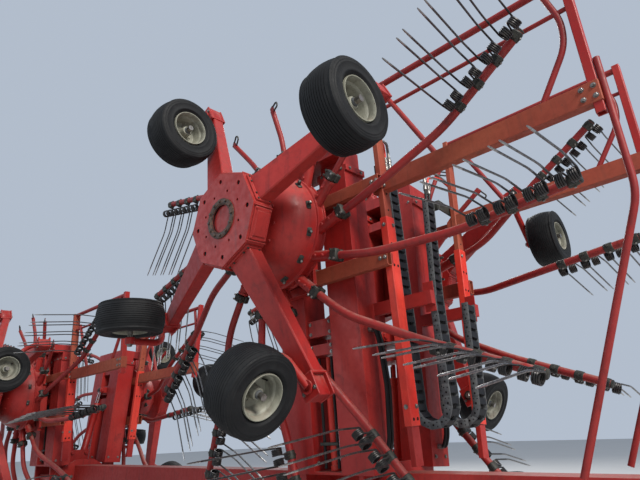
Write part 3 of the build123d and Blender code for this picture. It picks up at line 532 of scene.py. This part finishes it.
def tine_arms(tag, at, fine):
    piece = Piece()
    for k in range(ARMS):
        arm = spare_arm() if k in SPARE_ARMS else tine_arm(k in LIFTED_ARMS, fine)
        piece.merge(arm, arm_turn(k))
    piece.make("tine_arms_detail" + tag, at, "rotor" + tag, "arm_paint", "tine_arms" + tag)


def arm_socket():
    """Tube that an arm is pushed into, with its lip, gusset and two nuts."""
    socket = Piece()
    start = Vector((CLAMP_RADIUS - SOCKET_LENGTH * cos(SKEW), ARM_OFF, -SOCKET_LENGTH * sin(SKEW)))
    end = Vector((CLAMP_RADIUS, ARM_OFF, 0))
    along = (end - start).normalized()
    gusset = start + along * 0.11 + Vector((0, 0.03, 0))
    socket.add(sweep([start, end], 0.035, 18), "red")
    socket.add(lathe([(0.040, -0.016), (0.040, 0.0)], 18), "red", frame_at(end, along))
    socket.add(block(0.07, 0.008, 0.09, 0.002), "red", frame_at(gusset, along))
    for shift in (0.06, 0.12):
        socket.bolt(end - along * shift + OUTBOARD * 0.035, OUTBOARD, 0.008, "red")
    return socket


def arm_keeper():
    """Black clip with its bolt at the dome's edge, and a bolt further in."""
    keeper = Piece()
    slope = Vector((0.92, -0.39, 0)).normalized()
    spot = Vector((0.373, 0.398, 0))
    keeper.add(block(0.055, 0.030, 0.016, 0.004), "clamp", frame_at(spot, slope, (0, 0, 1)))
    keeper.add(block(0.018, 0.022, 0.040, 0.004), "clamp",
               frame_at(spot + slope * 0.014, slope, (0, 0, 1)))
    keeper.bolt(spot + slope * 0.030, slope, 0.008, "zinc", False)
    keeper.bolt(Vector((0.236, 0.222, 0.02)), (0.36, -0.93, 0), 0.007, "red")
    return keeper


def bell(tag, at):
    """Dome with its rims, a socket for each arm, and the keepers between them."""
    piece = Piece()
    piece.add(lathe(BELL, 72), "red", frame_at((0, 0, 0), -OUTBOARD, (1, 0, 0)))
    for k in range(ARMS):
        piece.merge(arm_socket(), arm_turn(k))
        piece.merge(arm_keeper(), arm_turn(k + 0.5))
    piece.make("bell_detail" + tag, at, "rotor" + tag, "red_paint", "rotor_bell" + tag)


# Hub, wheel arms and forks

HUB_APOTHEM, HUB_TURN, HUB_DEPTH = 0.288, 1.3, 0.140
BORE_RADIUS, BOLT_CIRCLE, SMALL_CIRCLE, FLANGE_CIRCLE = 0.088, 0.25, 0.176, 0.112
ARM_TIP = 1.135
FLANGE = [(0.089, 0.0), (0.128, 0.0), (0.128, 0.009), (0.122, 0.012), (0.100, 0.012),
          (0.094, 0.006), (0.089, 0.004)]
NOSE = [(0.064, -0.090), (0.064, -0.034), (0.060, -0.030), (0.051, -0.029), (0.050, -0.004),
        (0.046, 0.0), (0.004, 0.0)]


def hub_plate(piece):
    """Octagonal box whose face has corner holes, small holes and a bore, with a dark ring of painted
    shade behind the holes.
    """
    corner = HUB_APOTHEM / cos(pi / 8)
    corners = [radians(HUB_TURN + 45 * k) for k in range(8)]
    ring = [Vector((corner * cos(t), 0, corner * sin(t))) for t in corners]
    rings = [[p + Vector((0, 0.012, 0)) for p in ring],
             [p + Vector((0, HUB_DEPTH - 0.002, 0)) for p in ring],
             [p * 0.992 + Vector((0, HUB_DEPTH, 0)) for p in ring]]
    piece.add(loft(rings), "red")
    outlines = [[(p.x, p.z) for p in ring], circle(0, 0, BORE_RADIUS, 48)]
    outlines += [circle(BOLT_CIRCLE * cos(t), BOLT_CIRCLE * sin(t), 0.0150) for t in corners]
    outlines += [circle(SMALL_CIRCLE * cos(t + 0.4), SMALL_CIRCLE * sin(t + 0.4), 0.0090, 12)
                 for t in corners]
    upright = Matrix(((1, 0, 0, 0), (0, 0, 1, 0.0065), (0, 1, 0, 0), (0, 0, 0, 1)))
    piece.add(plate(outlines, 0.013), "red", upright)
    # dark ring inside the plate: painted shade that shows through its holes
    painted_shade_backing = [(0.130, 0), (0.285, 0), (0.285, 0.002), (0.130, 0.002)]
    piece.add(lathe(painted_shade_backing, 40, True), "dark", frame_at((0, 0.0070, 0), -OUTBOARD))


def hub_bearing(piece):
    """Bearing flange with its bolts, and the bore with the nose inside, its wall and a disc further
    in dark with painted shade.
    """
    piece.add(lathe(FLANGE, 48, True), "grease", frame_at((0, 0, 0), OUTBOARD))
    for t in turns(12):
        spot = Vector((FLANGE_CIRCLE * cos(t), -0.011, FLANGE_CIRCLE * sin(t)))
        piece.bolt(spot, OUTBOARD, 0.0095, "grease")
    piece.add(lathe(NOSE, 32), "red", frame_at((0, 0.024, 0), OUTBOARD))
    # dark lining of the bore and a dark disc across it deeper in: painted shade of the bore's inside
    bore = [(0.0885, -0.1), (0.0885, -0.002), (0.0875, -0.002), (0.0875, -0.1)]
    piece.add(lathe(bore, 40, True), "dark", frame_at((0, 0, 0), OUTBOARD))
    piece.add(lathe([(0.086, 0), (0.086, 0.002)], 32), "dark", frame_at((0, 0.062, 0), OUTBOARD))
    for t in turns(4, 0.5):
        spot = Vector((0.031 * cos(t), 0.025, 0.031 * sin(t)))
        piece.bolt(spot, OUTBOARD, 0.007, "grease", False)


def hub_cover():
    """Cover box on a free side of the hub, with its lid's bolts."""
    cover = Piece()
    cover.add(block(0.012, 0.124, 0.196, 0.003), "red", moved(0.293, 0.076, 0))
    cover.add(block(0.006, 0.088, 0.150, 0.0025), "red", moved(0.3005, 0.076, 0))
    for y in (0.024, 0.128):
        for z in (-0.088, 0.088):
            cover.bolt(Vector((0.2985, y, z)), (1, 0, 0), 0.0065, "red", False)
    for z in (-0.107, 0.107):
        cover.add(block(0.018, 0.134, 0.008, 0.002), "red", moved(0.292, 0.074, z))
    return cover


def wheel_arm():
    """Tapered box with its root flange and the open bracket at its tip."""
    arm = Piece()
    rings = []
    for x, middle, width, depth in ((0.262, 0.080, 0.196, 0.100), (1.07, 0.265, 0.104, 0.084)):
        ring = outline(depth / 2, width / 2, 0.007)
        rings.append([Vector((x, middle + p.x, p.y)) for p in ring])
    arm.add(loft(rings), "red")
    arm.add(block(0.120, 0.098, 0.088, 0.003), "red", moved(1.134, 0.262, -0.010))
    arm.add(block(0.014, 0.112, 0.212, 0.003), "red", moved(0.2945, 0.076, 0))
    for y in (0.034, 0.118):
        for z in (-0.094, -0.05, 0.05, 0.094):
            arm.bolt(Vector((0.3015, y, z)), (1, 0, 0), 0.007, "clamp", False)
    low, high, width = 0.201, 0.323, 0.116
    for y in (low + 0.006, high - 0.006):
        arm.add(block(0.130, 0.012, width, 0.003), "red", moved(ARM_TIP, y, 0))
    arm.add(block(0.014, high - low, width, 0.002), "red", moved(1.073, (low + high) / 2, 0))
    for z in (-0.044, 0.044):
        arm.bolt(Vector((ARM_TIP + 0.02, low, z)), OUTBOARD, 0.009)
        arm.bolt(Vector((ARM_TIP + 0.02, high, z)), -OUTBOARD, 0.009)
    return arm


def fork(piece, x, z, turn, bend, angle):
    """Post in the arm's bracket, bent tube over the tyre, axle and its nut."""
    post = Vector((ARM_TIP * cos(angle), 0.201, ARM_TIP * sin(angle)))
    out = Vector((cos(turn), 0, sin(turn)))
    centre = Vector((x, WHEEL_OFF, z))
    flank = centre - out * 0.150
    inner = -OUTBOARD
    foot, head = post - inner * 0.012, post + inner * 0.120
    collar = [(0.030, -0.022), (0.033, -0.018), (0.033, 0.020), (0.028, 0.024)]
    piece.add(sweep([foot, head], 0.0265, 18), "red")
    piece.add(lathe([(0.037, 0), (0.037, 0.010)], 18), "red", frame_at(foot, inner))
    piece.add(lathe([(0.034, 0), (0.034, 0.012)], 18), "clamp", frame_at(head, inner))
    piece.bolt(post + inner * 0.132, inner, 0.016)
    piece.add(sweep(rounded([post, Vector(bend), flank], 0.10, 8), 0.0235, 16), "red")
    piece.add(lathe(collar, 18), "red", frame_at(flank, out))
    piece.bolt(flank - out * 0.022, -out, 0.017)
    piece.add(sweep([flank, centre + out * 0.100], 0.0178, 12), "zinc")


def hub(tag, at):
    piece = Piece()
    hub_plate(piece)
    hub_bearing(piece)
    for angle in CHASSIS_ARMS:
        piece.merge(hub_cover(), spoke(angle + 45))
        piece.merge(wheel_arm(), spoke(angle))
    for (name, x, z, turn, bend), angle in zip(WHEELS, CHASSIS_ARMS):
        fork(piece, x, z, radians(turn), bend, radians(angle))
    piece.make("hub_detail" + tag, at, "rotor_carrier" + tag, "red_paint", "wheel_chassis" + tag)


# Wheels, about their own Z

GROUND_RIM = [
    (0.020, -0.060), (0.034, -0.060), (0.036, -0.028), (0.080, -0.030), (0.094, -0.050),
    (0.099, -0.080), (0.106, -0.088), (0.114, -0.091), (0.1165, -0.087), (0.1165, 0.094),
    (0.1150, 0.0985), (0.1110, 0.0985), (0.1080, 0.094), (0.1045, 0.080), (0.1030, 0.060),
    (0.0960, 0.054), (0.0925, 0.046), (0.0905, 0.012), (0.0830, -0.004), (0.0600, -0.008),
    (0.0390, -0.004), (0.0340, 0.004), (0.0330, 0.046), (0.0300, 0.054), (0.0200, 0.056)]
ROAD_RIM = [
    (0.05, -0.05), (0.185, -0.055), (0.196, -0.10), (0.203, -0.185), (0.220, -0.196),
    (0.2325, -0.196), (0.236, -0.190), (0.236, 0.190), (0.2325, 0.196), (0.221, 0.194),
    (0.208, 0.184), (0.202, 0.10), (0.188, 0.055), (0.150, 0.016), (0.110, 0.010), (0.05, 0.010)]
LUGS = 42


def tyre_profile(rim, outer, half, shoulder, ribs, groove, drop):
    """Closed section of a ribbed tyre: bead, sidewall, shoulder and grooves, as radius and height."""
    wall = outer - rim
    side = [(rim, -half * 0.80), (rim + 0.012, -half * 0.87)]
    for low, high in ((0.20, 0.26), (0.58, 0.62), (0.70, 0.725)):
        for part, proud in ((low - 0.02, 0), (low, 0.013), (high, 0.013), (high + 0.02, 0)):
            bulge = 0.90 + 0.10 * sin(pi * min(1.0, 0.12 + part * 0.95))
            side.append((rim + wall * part, -half * min(1.0, bulge + proud)))
    side += [(rim + wall * 0.83, -half * 0.945), (rim + wall * 0.89, -half * 0.885),
             (outer - drop * 1.25, -half * (shoulder + 0.05))]
    tread = []
    flat, gap = half * shoulder, 0.0016
    for k in range(ribs):
        low, high = -flat + 2 * flat * k / ribs, -flat + 2 * flat * (k + 1) / ribs
        crown = [outer - drop * (z / flat) ** 2 for z in (low, high)]
        tread += [(crown[0], low + gap), (crown[1], high - gap)]
        if k < ribs - 1:
            floor_radius = crown[1] - groove
            tread += [(floor_radius, high - gap * 0.7), (floor_radius, high + gap * 0.7)]
    return side + tread + [(r, -z) for r, z in reversed(side)]


def ground_wheel(name, at, body):
    """Small ribbed tyre on a cream rim, with its cap, valve and four bolts."""
    piece = Piece()
    tyre = tyre_profile(0.114, 0.2255, 0.1055, 0.74, 11, 0.0032, 0.012)
    cap = [(0.0225, 0.050), (0.0225, 0.062), (0.0170, 0.069), (0.0040, 0.071)]
    piece.add(lathe(tyre, 56, True), "rubber")
    piece.add(lathe(GROUND_RIM, 40, True), "cream")
    piece.add(lathe(cap, 16), "chain")
    piece.add(sweep([Vector((0.078, 0, -0.005)), Vector((0.082, 0, 0.035))], 0.0045, 8), "hose")
    for t in turns(4, 0.6):
        spot = Vector((0.052 * cos(t), 0.052 * sin(t), -0.007))
        piece.bolt(spot, (0, 0, 1), 0.0065, "cream", False)
    piece.make(name, at, body, "tyre", body.replace("ground_wheel", "wheel"))


def road_wheel(side):
    """Wide tyre with shoulder lugs on a cream rim, with a red hub and its nuts."""
    sign = -1 if side == "right" else 1
    x, y, z = ROAD_WHEEL
    at = frame_at((x, sign * y, z), (0, sign, 0), (1, 0, 0))
    piece = Piece()
    piece.add(lathe(tyre_profile(0.232, 0.4695, 0.238, 0.80, 7, 0.013, 0.012), 84, True), "rubber")
    for t in turns(LUGS):
        for way in (-1, 1):
            spot = Vector((0.4545 * cos(t), 0.4545 * sin(t), way * 0.186))
            place = frame_at(spot, (0, 0, 1), (cos(t), sin(t), 0))
            piece.add(block(0.020, 0.030, 0.040, 0.003), "rubber", place)
    piece.add(lathe(ROAD_RIM, 56, True), "cream")
    cap = [(0.078, -0.12), (0.078, 0.075), (0.070, 0.086), (0.052, 0.092), (0.004, 0.094)]
    piece.add(lathe(cap, 24), "red")
    for t in turns(8):
        piece.bolt(Vector((0.108 * cos(t), 0.108 * sin(t), 0.010)), (0, 0, 1), 0.015)
    piece.make("road_wheel_detail_" + side, at, "road_wheel_" + side, "tyre",
               "road_tyre_" + side, "road_rim_" + side)


# Guard frame, in the unit's frame

GUARD_Y, POST_X, GUARD_END = -0.068, 0.72, 2.01
BEAM = [(GUARD_END, 0.225), (GUARD_END, 0.115), (0.66, 0.115), (0.66, 0.182), (0.703, 0.225)]


def guard_post(piece, low, joint, high):
    """Post of three lengths, one in another, with its bolts, and dark discs of painted shade that
    stand for its holes.
    """
    overlap, reach = 0.08, 0.2
    piece.add(channel(0.050, 0.084, 0.006, joint - low), "red_bright", moved(POST_X, GUARD_Y, low))
    piece.add(channel(0.038, 0.072, 0.005, high - joint + overlap), "faded",
              moved(POST_X, GUARD_Y, joint - overlap))
    piece.add(channel(0.036, 0.070, 0.005, 0.36), "red", moved(POST_X, GUARD_Y, low - reach))
    front = (1, 0, 0)
    holes = [(0.025, y, z, 0.0095) for z in (joint - 0.176, joint - 0.31, low + 0.035)
             for y in (-0.019, 0.019)]
    holes += [(0.019, 0, z, 0.0075) for z in (joint + 0.05, joint + 0.16)]
    # each of these holes is a dark disc of painted shade on the post's face
    for x, y, z, radius in holes:
        place = frame_at(Vector((POST_X + x, GUARD_Y + y, z)), front)
        piece.painted_shade_disc(place, radius, 14, 0.001, 0.0006)
    for z in (joint - 0.05, low + 0.10):
        piece.bolt(Vector((POST_X, GUARD_Y - 0.042, z)), OUTBOARD, 0.010)
        piece.bolt(Vector((POST_X + 0.025, GUARD_Y + 0.02, z)), front, 0.010)


def guard_beam(piece, hub_z):
    """Long faded beam with cut edges, and the bolts at its ends."""
    rings = []
    centre = Vector((1.33, 0, 0.17))
    for depth, inset in ((-0.031, 0.003), (-0.028, 0), (0.028, 0), (0.031, 0.003)):
        ring = [Vector((x, 0, z)) for x, z in BEAM]
        ring = [p - (p - centre).normalized() * inset for p in ring]
        rings.append([Vector((p.x, GUARD_Y + depth, hub_z + p.z)) for p in ring])
    piece.add(loft(rings), "faded")
    bolts = [(x, z) for x in (0.69, 0.75, 1.93, 1.985) for z in (0.145, 0.200)]
    for x, z in bolts:
        if (x, z) != (0.69, 0.200):  # the beam's corner is cut off there
            piece.bolt(Vector((x, GUARD_Y - 0.031, hub_z + z)), OUTBOARD, 0.010)


def guard_stub(piece, height, tall):
    """Beam from the carrier to the post, with its end plates."""
    at = moved(0.152, -0.137, height) @ Matrix.Rotation(pi / 2, 4, "Y")
    piece.add(channel(tall, 0.046, 0.005, 0.598), "faded", at)
    piece.add(block(0.022, 0.070, 0.120, 0.003), "red", moved(0.163, -0.151, height))
    piece.add(block(0.060, 0.023, 0.068, 0.002), "red", moved(0.716, -0.1035, height))
    for x in (0.700, 0.735):
        piece.bolt(Vector((x, -0.160, height)), OUTBOARD, 0.010)
    for shift in (-0.05, 0.05):
        piece.bolt(Vector((0.174, -0.151, height + shift)), (1, 0, 0), 0.009)


def guard(tag, at, hub_z, full):
    """Post, beams, rails and bent tubes; a full guard reaches further down."""
    piece = Piece()
    low = hub_z - (1.27 if full else 0.56)
    joint = hub_z - 0.06 if full else hub_z + 0.26
    guard_post(piece, low, joint, hub_z + 0.89)
    guard_beam(piece, hub_z)
    guard_stub(piece, hub_z + 0.17, 0.084)
    guard_stub(piece, hub_z - 0.33, 0.100)
    piece.add(channel(0.044, 0.050, 0.005, 0.84), "red", moved(1.984, GUARD_Y, hub_z + 0.06))
    for z, radius in ((0.875, 0.0205), (0.695, 0.0125)):
        rail = [(POST_X, GUARD_Y, hub_z + z), (1.97, GUARD_Y, hub_z + z)]
        piece.tube(rail, radius, "red_arm")
        piece.bolt(Vector((POST_X, GUARD_Y - 0.036, hub_z + z)), OUTBOARD, 0.009)
    routes = [[(1.725, 0.2), (1.91, 0.49), (1.925, 0.64), (1.86, 0.875)],
              [(0.85, 0.735), (1.12, 0.215)]]
    if full:
        routes.append([(2.024, 0.35), (2.024, -0.36), (1.54, -1.51)])
    for route in routes:
        piece.tube([(x, GUARD_Y, hub_z + z) for x, z in route], 0.0165, "red_arm")
    piece.make("guard_detail" + tag, at, "rotor_carrier" + tag, "faded_paint", "guard_frame" + tag)


# Energy chain: a U of links, heights from the rotor's axis

CHAIN_X, CHAIN_Y, CHAIN_R, LINK = 0.74, 0.16, 0.11, 0.058
CHAIN_LOW, CHAIN_HIGH, CHAIN_END = -1.167, 0.3, -0.5
FITTING = [(0.0125, 0), (0.016, 0.004), (0.016, 0.040), (0.013, 0.044), (0.013, 0.058),
           (0.017, 0.060), (0.017, 0.078), (0.012, 0.082), (0.012, 0.100)]


def chain_point(along):
    """Point and direction on the chain's centre line, from the top of its long leg."""
    leg = CHAIN_HIGH - CHAIN_LOW
    if along < leg:
        return (CHAIN_X - CHAIN_R, CHAIN_HIGH - along), (0, -1)
    turn = (along - leg) / CHAIN_R
    if turn < pi:
        point = (CHAIN_X - CHAIN_R * cos(turn), CHAIN_LOW - CHAIN_R * sin(turn))
        return point, (sin(turn), -cos(turn))
    return (CHAIN_X + CHAIN_R, CHAIN_LOW + along - leg - pi * CHAIN_R), (0, 1)


def chain_link(piece, at, odd, filled):
    """Side plates with dark discs of painted shade at their pin holes, two wide bars, and the hoses
    that pass through.
    """
    for way in (-1, 1):
        side = at @ moved(0, 0, way * (0.0455 - (0.0012 if odd else 0.0)))
        piece.add(block(0.067, 0.046, 0.0080, 0.002), "chain", side)
        # dark discs of painted shade at the pin holes
        for x, y, radius, sides in ((-0.014, 0, 0.0062, 10), (0.012, 0.011, 0.0036, 8),
                                    (0.012, -0.011, 0.0036, 8)):
            piece.painted_shade_disc(side @ moved(x, y, way * 0.0037), radius, sides)
    for way in (-1, 1):
        piece.add(block(0.038, 0.005, 0.086, 0.001), "chain_bar", at @ moved(0, way * 0.0195, 0))
    if filled:
        for shift in (-0.022, 0.0, 0.022):
            ends = [at @ Vector((x, 0, shift)) for x in (-0.031, 0.031)]
            piece.add(sweep(ends, 0.0085, 6), "hose")


def energy_chain(tag, at, hub_z):
    """Chain, its brackets, and the hoses that leave its long leg in their fittings."""
    piece = Piece()
    length = CHAIN_HIGH - CHAIN_LOW + pi * CHAIN_R + CHAIN_END - CHAIN_LOW
    for k in range(int(length / LINK)):
        (x, z), (dx, dz) = chain_point((k + 0.5) * LINK)
        link = Matrix(((dx, -dz, 0, x), (0, 0, 1, CHAIN_Y), (dz, dx, 0, hub_z + z), (0, 0, 0, 1)))
        chain_link(piece, link, k % 2 == 1, 0 < k < length / LINK - 2)
    top = hub_z + CHAIN_HIGH
    piece.add(block(0.010, 0.198, 0.080, 0.002), "clamp", moved(0.687, 0.011, top - 0.025))
    piece.add(block(0.076, 0.009, 0.080, 0.002), "clamp", moved(0.645, 0.1065, top - 0.025))
    for shift in (-0.045, -0.005):
        piece.bolt(Vector((0.630, 0.102, top + shift)), OUTBOARD, 0.007)
    for shift, lift, kind in ((-0.024, 0.10, "red_bright"), (0.022, 0.12, "zinc")):
        base = Vector((0.630, CHAIN_Y + shift, top - 0.03))
        piece.add(sweep([base, base + Vector((0, 0, lift))], 0.011, 12), "hose")
        piece.add(lathe(FITTING, 14), "zinc", Matrix.Translation(base + Vector((0, 0, lift))))
        crown = base + Vector((0, 0, lift + 0.095))
        bend = [crown, crown + Vector((0, 0, 0.05)), crown + Vector((0.05, -0.08, 0.07)),
                Vector((0.70, -0.05, crown.z + 0.03))]
        piece.tube(bend, 0.010, kind, 0.05, 10)
    piece.make("energy_chain_detail" + tag, at, "rotor_carrier" + tag, "chain_plastic",
               "energy_chain" + tag)


# Booms and fold cylinders

COLUMNS = [MAST_X - 0.23, MAST_X + 0.23]
LIFT_CYLINDER = [(0.030, 0), (0.034, 0.004), (0.034, 0.03), (0.028, 0.034), (0.028, 0.52),
                 (0.034, 0.524), (0.034, 0.58), (0.030, 0.584), (0.016, 0.586), (0.016, 0.68)]
GLAND = [(0.0145, 0), (0.0145, 0.014), (0.0125, 0.018), (0.0125, 0.032)]
HOSE_FACE = 0.45
HOSE_BOW = [(0, 0), (0.04, 0.0), (0.062, 0.06), (0.085, 0.35), (0.062, 0.64), (0.04, 0.70), (0, 0.70)]


def boom_bolts(piece, top):
    """Bolts of the columns' collars and wear pads, and of the ties between them."""
    for centre in COLUMNS:
        for x in (centre - 0.09, centre, centre + 0.09):
            for way in (-1, 1):
                piece.bolt(Vector((x, way * 0.1, top - 0.022)), (0, way, 0), 0.009)
        for way in (-1, 1):
            for y in (-0.06, 0.06):
                piece.bolt(Vector((centre + way * 0.136, y, top - 0.022)), (way, 0, 0), 0.010)
                piece.bolt(Vector((centre + way * 0.12, y, 0.19)), (way, 0, 0), 0.010)
    for middle, half in ((1.01, 0.055), (0.87, 0.035)):
        for x in (MAST_X - 0.085, MAST_X + 0.085):
            for shift in (-0.6, 0.6):
                piece.bolt(Vector((x, -0.08, middle + half * shift)), OUTBOARD, 0.009)


def boom_hoses(piece, hub_z):
    """Two bowed hoses from fitting to fitting on the column's front face."""
    high, low = hub_z - 0.7, hub_z - 1.4
    for y in (0.020, -0.012):
        route = [(HOSE_FACE + out, y, high - down) for out, down in HOSE_BOW]
        piece.add(sweep(rounded(route, 0.06, 6), 0.0108, 12), "hose")
        for end in (high, low):
            piece.add(lathe(GLAND, 12), "zinc", frame_at((HOSE_FACE, y, end), (1, 0, 0)))


def boom_details(tag, at, hub_z, full):
    """Bolts, the cylinder and strapped hoses between the columns, and the front booms' hoses."""
    piece = Piece()
    boom_bolts(piece, hub_z + 0.42)
    piece.add(lathe(LIFT_CYLINDER, 24), "red_bright", moved(MAST_X, -0.02, 0.143))
    piece.bolt(Vector((MAST_X, -0.054, 0.69)), OUTBOARD, 0.013)
    for x in (MAST_X - 0.045, MAST_X + 0.062):
        piece.add(sweep([Vector((x, -0.062, 0.16)), Vector((x, -0.058, 0.82))], 0.0095, 10), "hose")
    for z in (0.30, 0.62):
        piece.add(block(0.150, 0.012, 0.020, 0.003), "clamp", moved(MAST_X + 0.006, -0.074, z))
    if full:
        boom_hoses(piece, hub_z)
        piece.make("boom_detail" + tag, at, "boom" + tag, "hose_rubber", "hoses" + tag)
    else:
        piece.make("boom_detail" + tag, at, "boom" + tag, "red_paint")


def carrier_details(tag, at, hub_z):
    """Gearbox flange with its bolts, and the bolts of the head."""
    piece = Piece()
    face, half_width, bolt_circle = -0.188, 0.13, 0.20
    flange = [(0.062, -0.0055), (0.075, -0.004), (0.080, 0.0)]
    piece.add(lathe(flange, 32), "grease", frame_at((0, face - 0.002, hub_z), OUTBOARD))
    for t in turns(8):
        x = max(-half_width, min(half_width, bolt_circle * cos(t)))
        spot = Vector((x, face, hub_z + bolt_circle * sin(t)))
        piece.bolt(spot, OUTBOARD, 0.006, "clamp", False)
    for x in (-0.19, -0.07, 0.05, 0.17, 0.29, 0.41):
        piece.bolt(Vector((x, face, hub_z + 0.515)), OUTBOARD, 0.012)
    piece.make("carrier_detail" + tag, at, "rotor_carrier" + tag, "red_paint")


BARREL = [(0.030, 0.02), (0.044, 0.026), (0.044, 0.056), (0.0415, 0.060), (0.0415, 0.540),
          (0.0445, 0.544), (0.0445, 0.592), (0.040, 0.600), (0.0243, 0.600), (0.0243, 0.52)]
EYE = [(0.0155, 0), (0.033, 0), (0.034, 0.002), (0.034, 0.066), (0.033, 0.068), (0.0155, 0.068)]
EYE_HALF = 0.034
# The cylinder's foot on the tower, and its head on the boom in the unit's frame
FOOT_Y, FOOT_Z, HEAD_IN, HEAD_UP = 0.082, 1.37, 0.14, 1.01


def fold_cylinder(tag, x, side):
    """Barrel with its gland and ports, and the chromed rod with its eye."""
    sign = -1 if side == "right" else 1
    foot = Vector((x, sign * FOOT_Y, FOOT_Z))
    head = Vector((x, sign * (PIVOT_Y - HEAD_IN * cos(LEAN) + HEAD_UP * sin(LEAN)),
                   PIVOT_Z + HEAD_IN * sin(LEAN) + HEAD_UP * cos(LEAN)))
    at = frame_at(foot, head - foot, (1, 0, 0))
    length = (head - foot).length
    barrel = Piece()
    barrel.add(lathe(BARREL, 32), "red")
    barrel.add(lathe(EYE, 24, True), "red", frame_at((-EYE_HALF, 0, 0), (1, 0, 0)))
    port = [(0.012, 0), (0.012, 0.014), (0.009, 0.018)]
    for z in (0.09, 0.50):
        barrel.add(lathe(port, 10), "zinc", frame_at((0, 0.040, z), (0, 1, 0)))
    barrel.make("fold_barrel" + tag, at, "ram_barrel" + tag, "cylinder_paint", "ram_barrel" + tag)
    rod = Piece()
    rod.add(sweep([Vector((0, 0, 0.09)), Vector((0, 0, length - 0.02))], 0.0238, 32), "chrome")
    rod.add(lathe(EYE, 24, True), "clamp", frame_at((-EYE_HALF, 0, length), (1, 0, 0)))
    rod.make("fold_rod" + tag, at, "ram_rod" + tag, "rod_chrome", "ram_rod" + tag)


def frame_details():
    """Bolts of the stations' brackets and of the axle, and the spine's end plate."""
    piece = Piece()
    for station, pivot_x, height in STATIONS:
        for sign in (-1, 1):
            for way in (-1, 1):
                for y in (0.14, 0.20):
                    x = pivot_x + MAST_X + way * 0.264 + way * 0.010
                    piece.bolt(Vector((x, sign * y, PIVOT_Z)), (way, 0, 0), 0.014)
    for x in (-0.64, -0.46):
        for y in (-0.08, 0.08):
            piece.bolt(Vector((x, y, 0.985)), (0, 0, -1), 0.014)
    piece.add(block(0.012, 0.224, 0.254, 0.003), "red", moved(-3.054, 0, 1.11))
    piece.make("frame_bolts", Matrix.Identity(4), "frame", "red_paint")


for station, x, hub_z in STATIONS:
    full = station == "front"
    for side in SIDES:
        tag = "_" + station + "_" + side
        unit = unit_matrix(x, side)
        rotor = unit @ moved(0, HUB_Y, hub_z)
        tine_arms(tag, rotor, full)
        bell(tag, rotor)
        hub(tag, rotor)
        guard(tag, unit, hub_z, full)
        boom_details(tag, unit, hub_z, full)
        carrier_details(tag, unit, hub_z)
        fold_cylinder(tag, x + MAST_X, side)
        if full:
            energy_chain(tag, unit, hub_z)
        for name, u, v, turn, bend in WHEELS:
            axle = (cos(radians(turn)), 0, sin(radians(turn)))
            place = rotor @ frame_at((u, WHEEL_OFF, v), axle)
            ground_wheel("wheel_detail_" + name + tag, place, "ground_wheel_" + name + tag)
for side in SIDES:
    road_wheel(side)
frame_details()


# Stage, lights and camera

FLOOR_HALF = 60.0
SKY, SKY_STRENGTH = rgb(0.72, 0.82, 0.97), 0.62
# Each lamp's name, place, target, diameter, power and colour
LAMPS = [
    ("key", (17.0, -5.0, 14.0), (1.0, -0.3, 1.8), 7.0, 5600, (1.0, 0.955, 0.89)),
    ("fill", (-9.0, -13.0, 7.0), (0, 0, 1.8), 9.0, 420, (0.90, 0.95, 1.0)),
    ("back", (-7.0, 13.0, 14.0), (0, 0, 1.8), 9.0, 2000, (1.0, 0.97, 0.93)),
]
# The photograph's camera: its place, heading, tilt above level, and roll
CAMERA, HEADING, TILT, ROLL = (4.24, -2.825, 1.461), 132.71, 21.36, -2.21
LENS, SENSOR = 28.1, 36.0


def floor():
    mesh = bpy.data.meshes.new("floor")
    corners = [(x * FLOOR_HALF, y * FLOOR_HALF, 0) for x, y in ((-1, -1), (1, -1), (1, 1), (-1, 1))]
    mesh.from_pydata(corners, [], [(0, 1, 2, 3)])
    g = Graph("pale_floor", 0.85)
    tone = g.mix(g.noise(0.6, 3.0), rgb(0.47, 0.47, 0.465), rgb(0.51, 0.51, 0.505))
    mesh.materials.append(g.finish(tone))
    ground = bpy.data.objects.new("floor", mesh)
    bpy.context.scene.collection.objects.link(ground)


def area(name, place, target, size, power, color):
    light = bpy.data.lights.new(name, "AREA")
    light.shape, light.size, light.energy, light.color = "DISK", size, power, color
    lamp = bpy.data.objects.new(name, light)
    lamp.matrix_world = frame_at(place, Vector(place) - Vector(target))
    bpy.context.scene.collection.objects.link(lamp)


floor()
world = bpy.data.worlds.new("studio")
bpy.context.scene.world = world
world.use_nodes = True
background = world.node_tree.nodes["Background"].inputs
background["Color"].default_value, background["Strength"].default_value = SKY, SKY_STRENGTH
for lamp in LAMPS:
    area(*lamp)
bpy.context.scene.view_settings.view_transform = "Standard"

camera_data = bpy.data.cameras.new("camera")
camera_data.lens, camera_data.sensor_width = LENS, SENSOR
camera = bpy.data.objects.new("camera", camera_data)
aim = Matrix.Rotation(radians(HEADING - 90), 4, "Z") @ Matrix.Rotation(radians(90 + TILT), 4, "X")
camera.matrix_world = Matrix.Translation(CAMERA) @ aim @ Matrix.Rotation(radians(ROLL), 4, "Z")
bpy.context.scene.collection.objects.link(camera)
bpy.context.scene.camera = camera
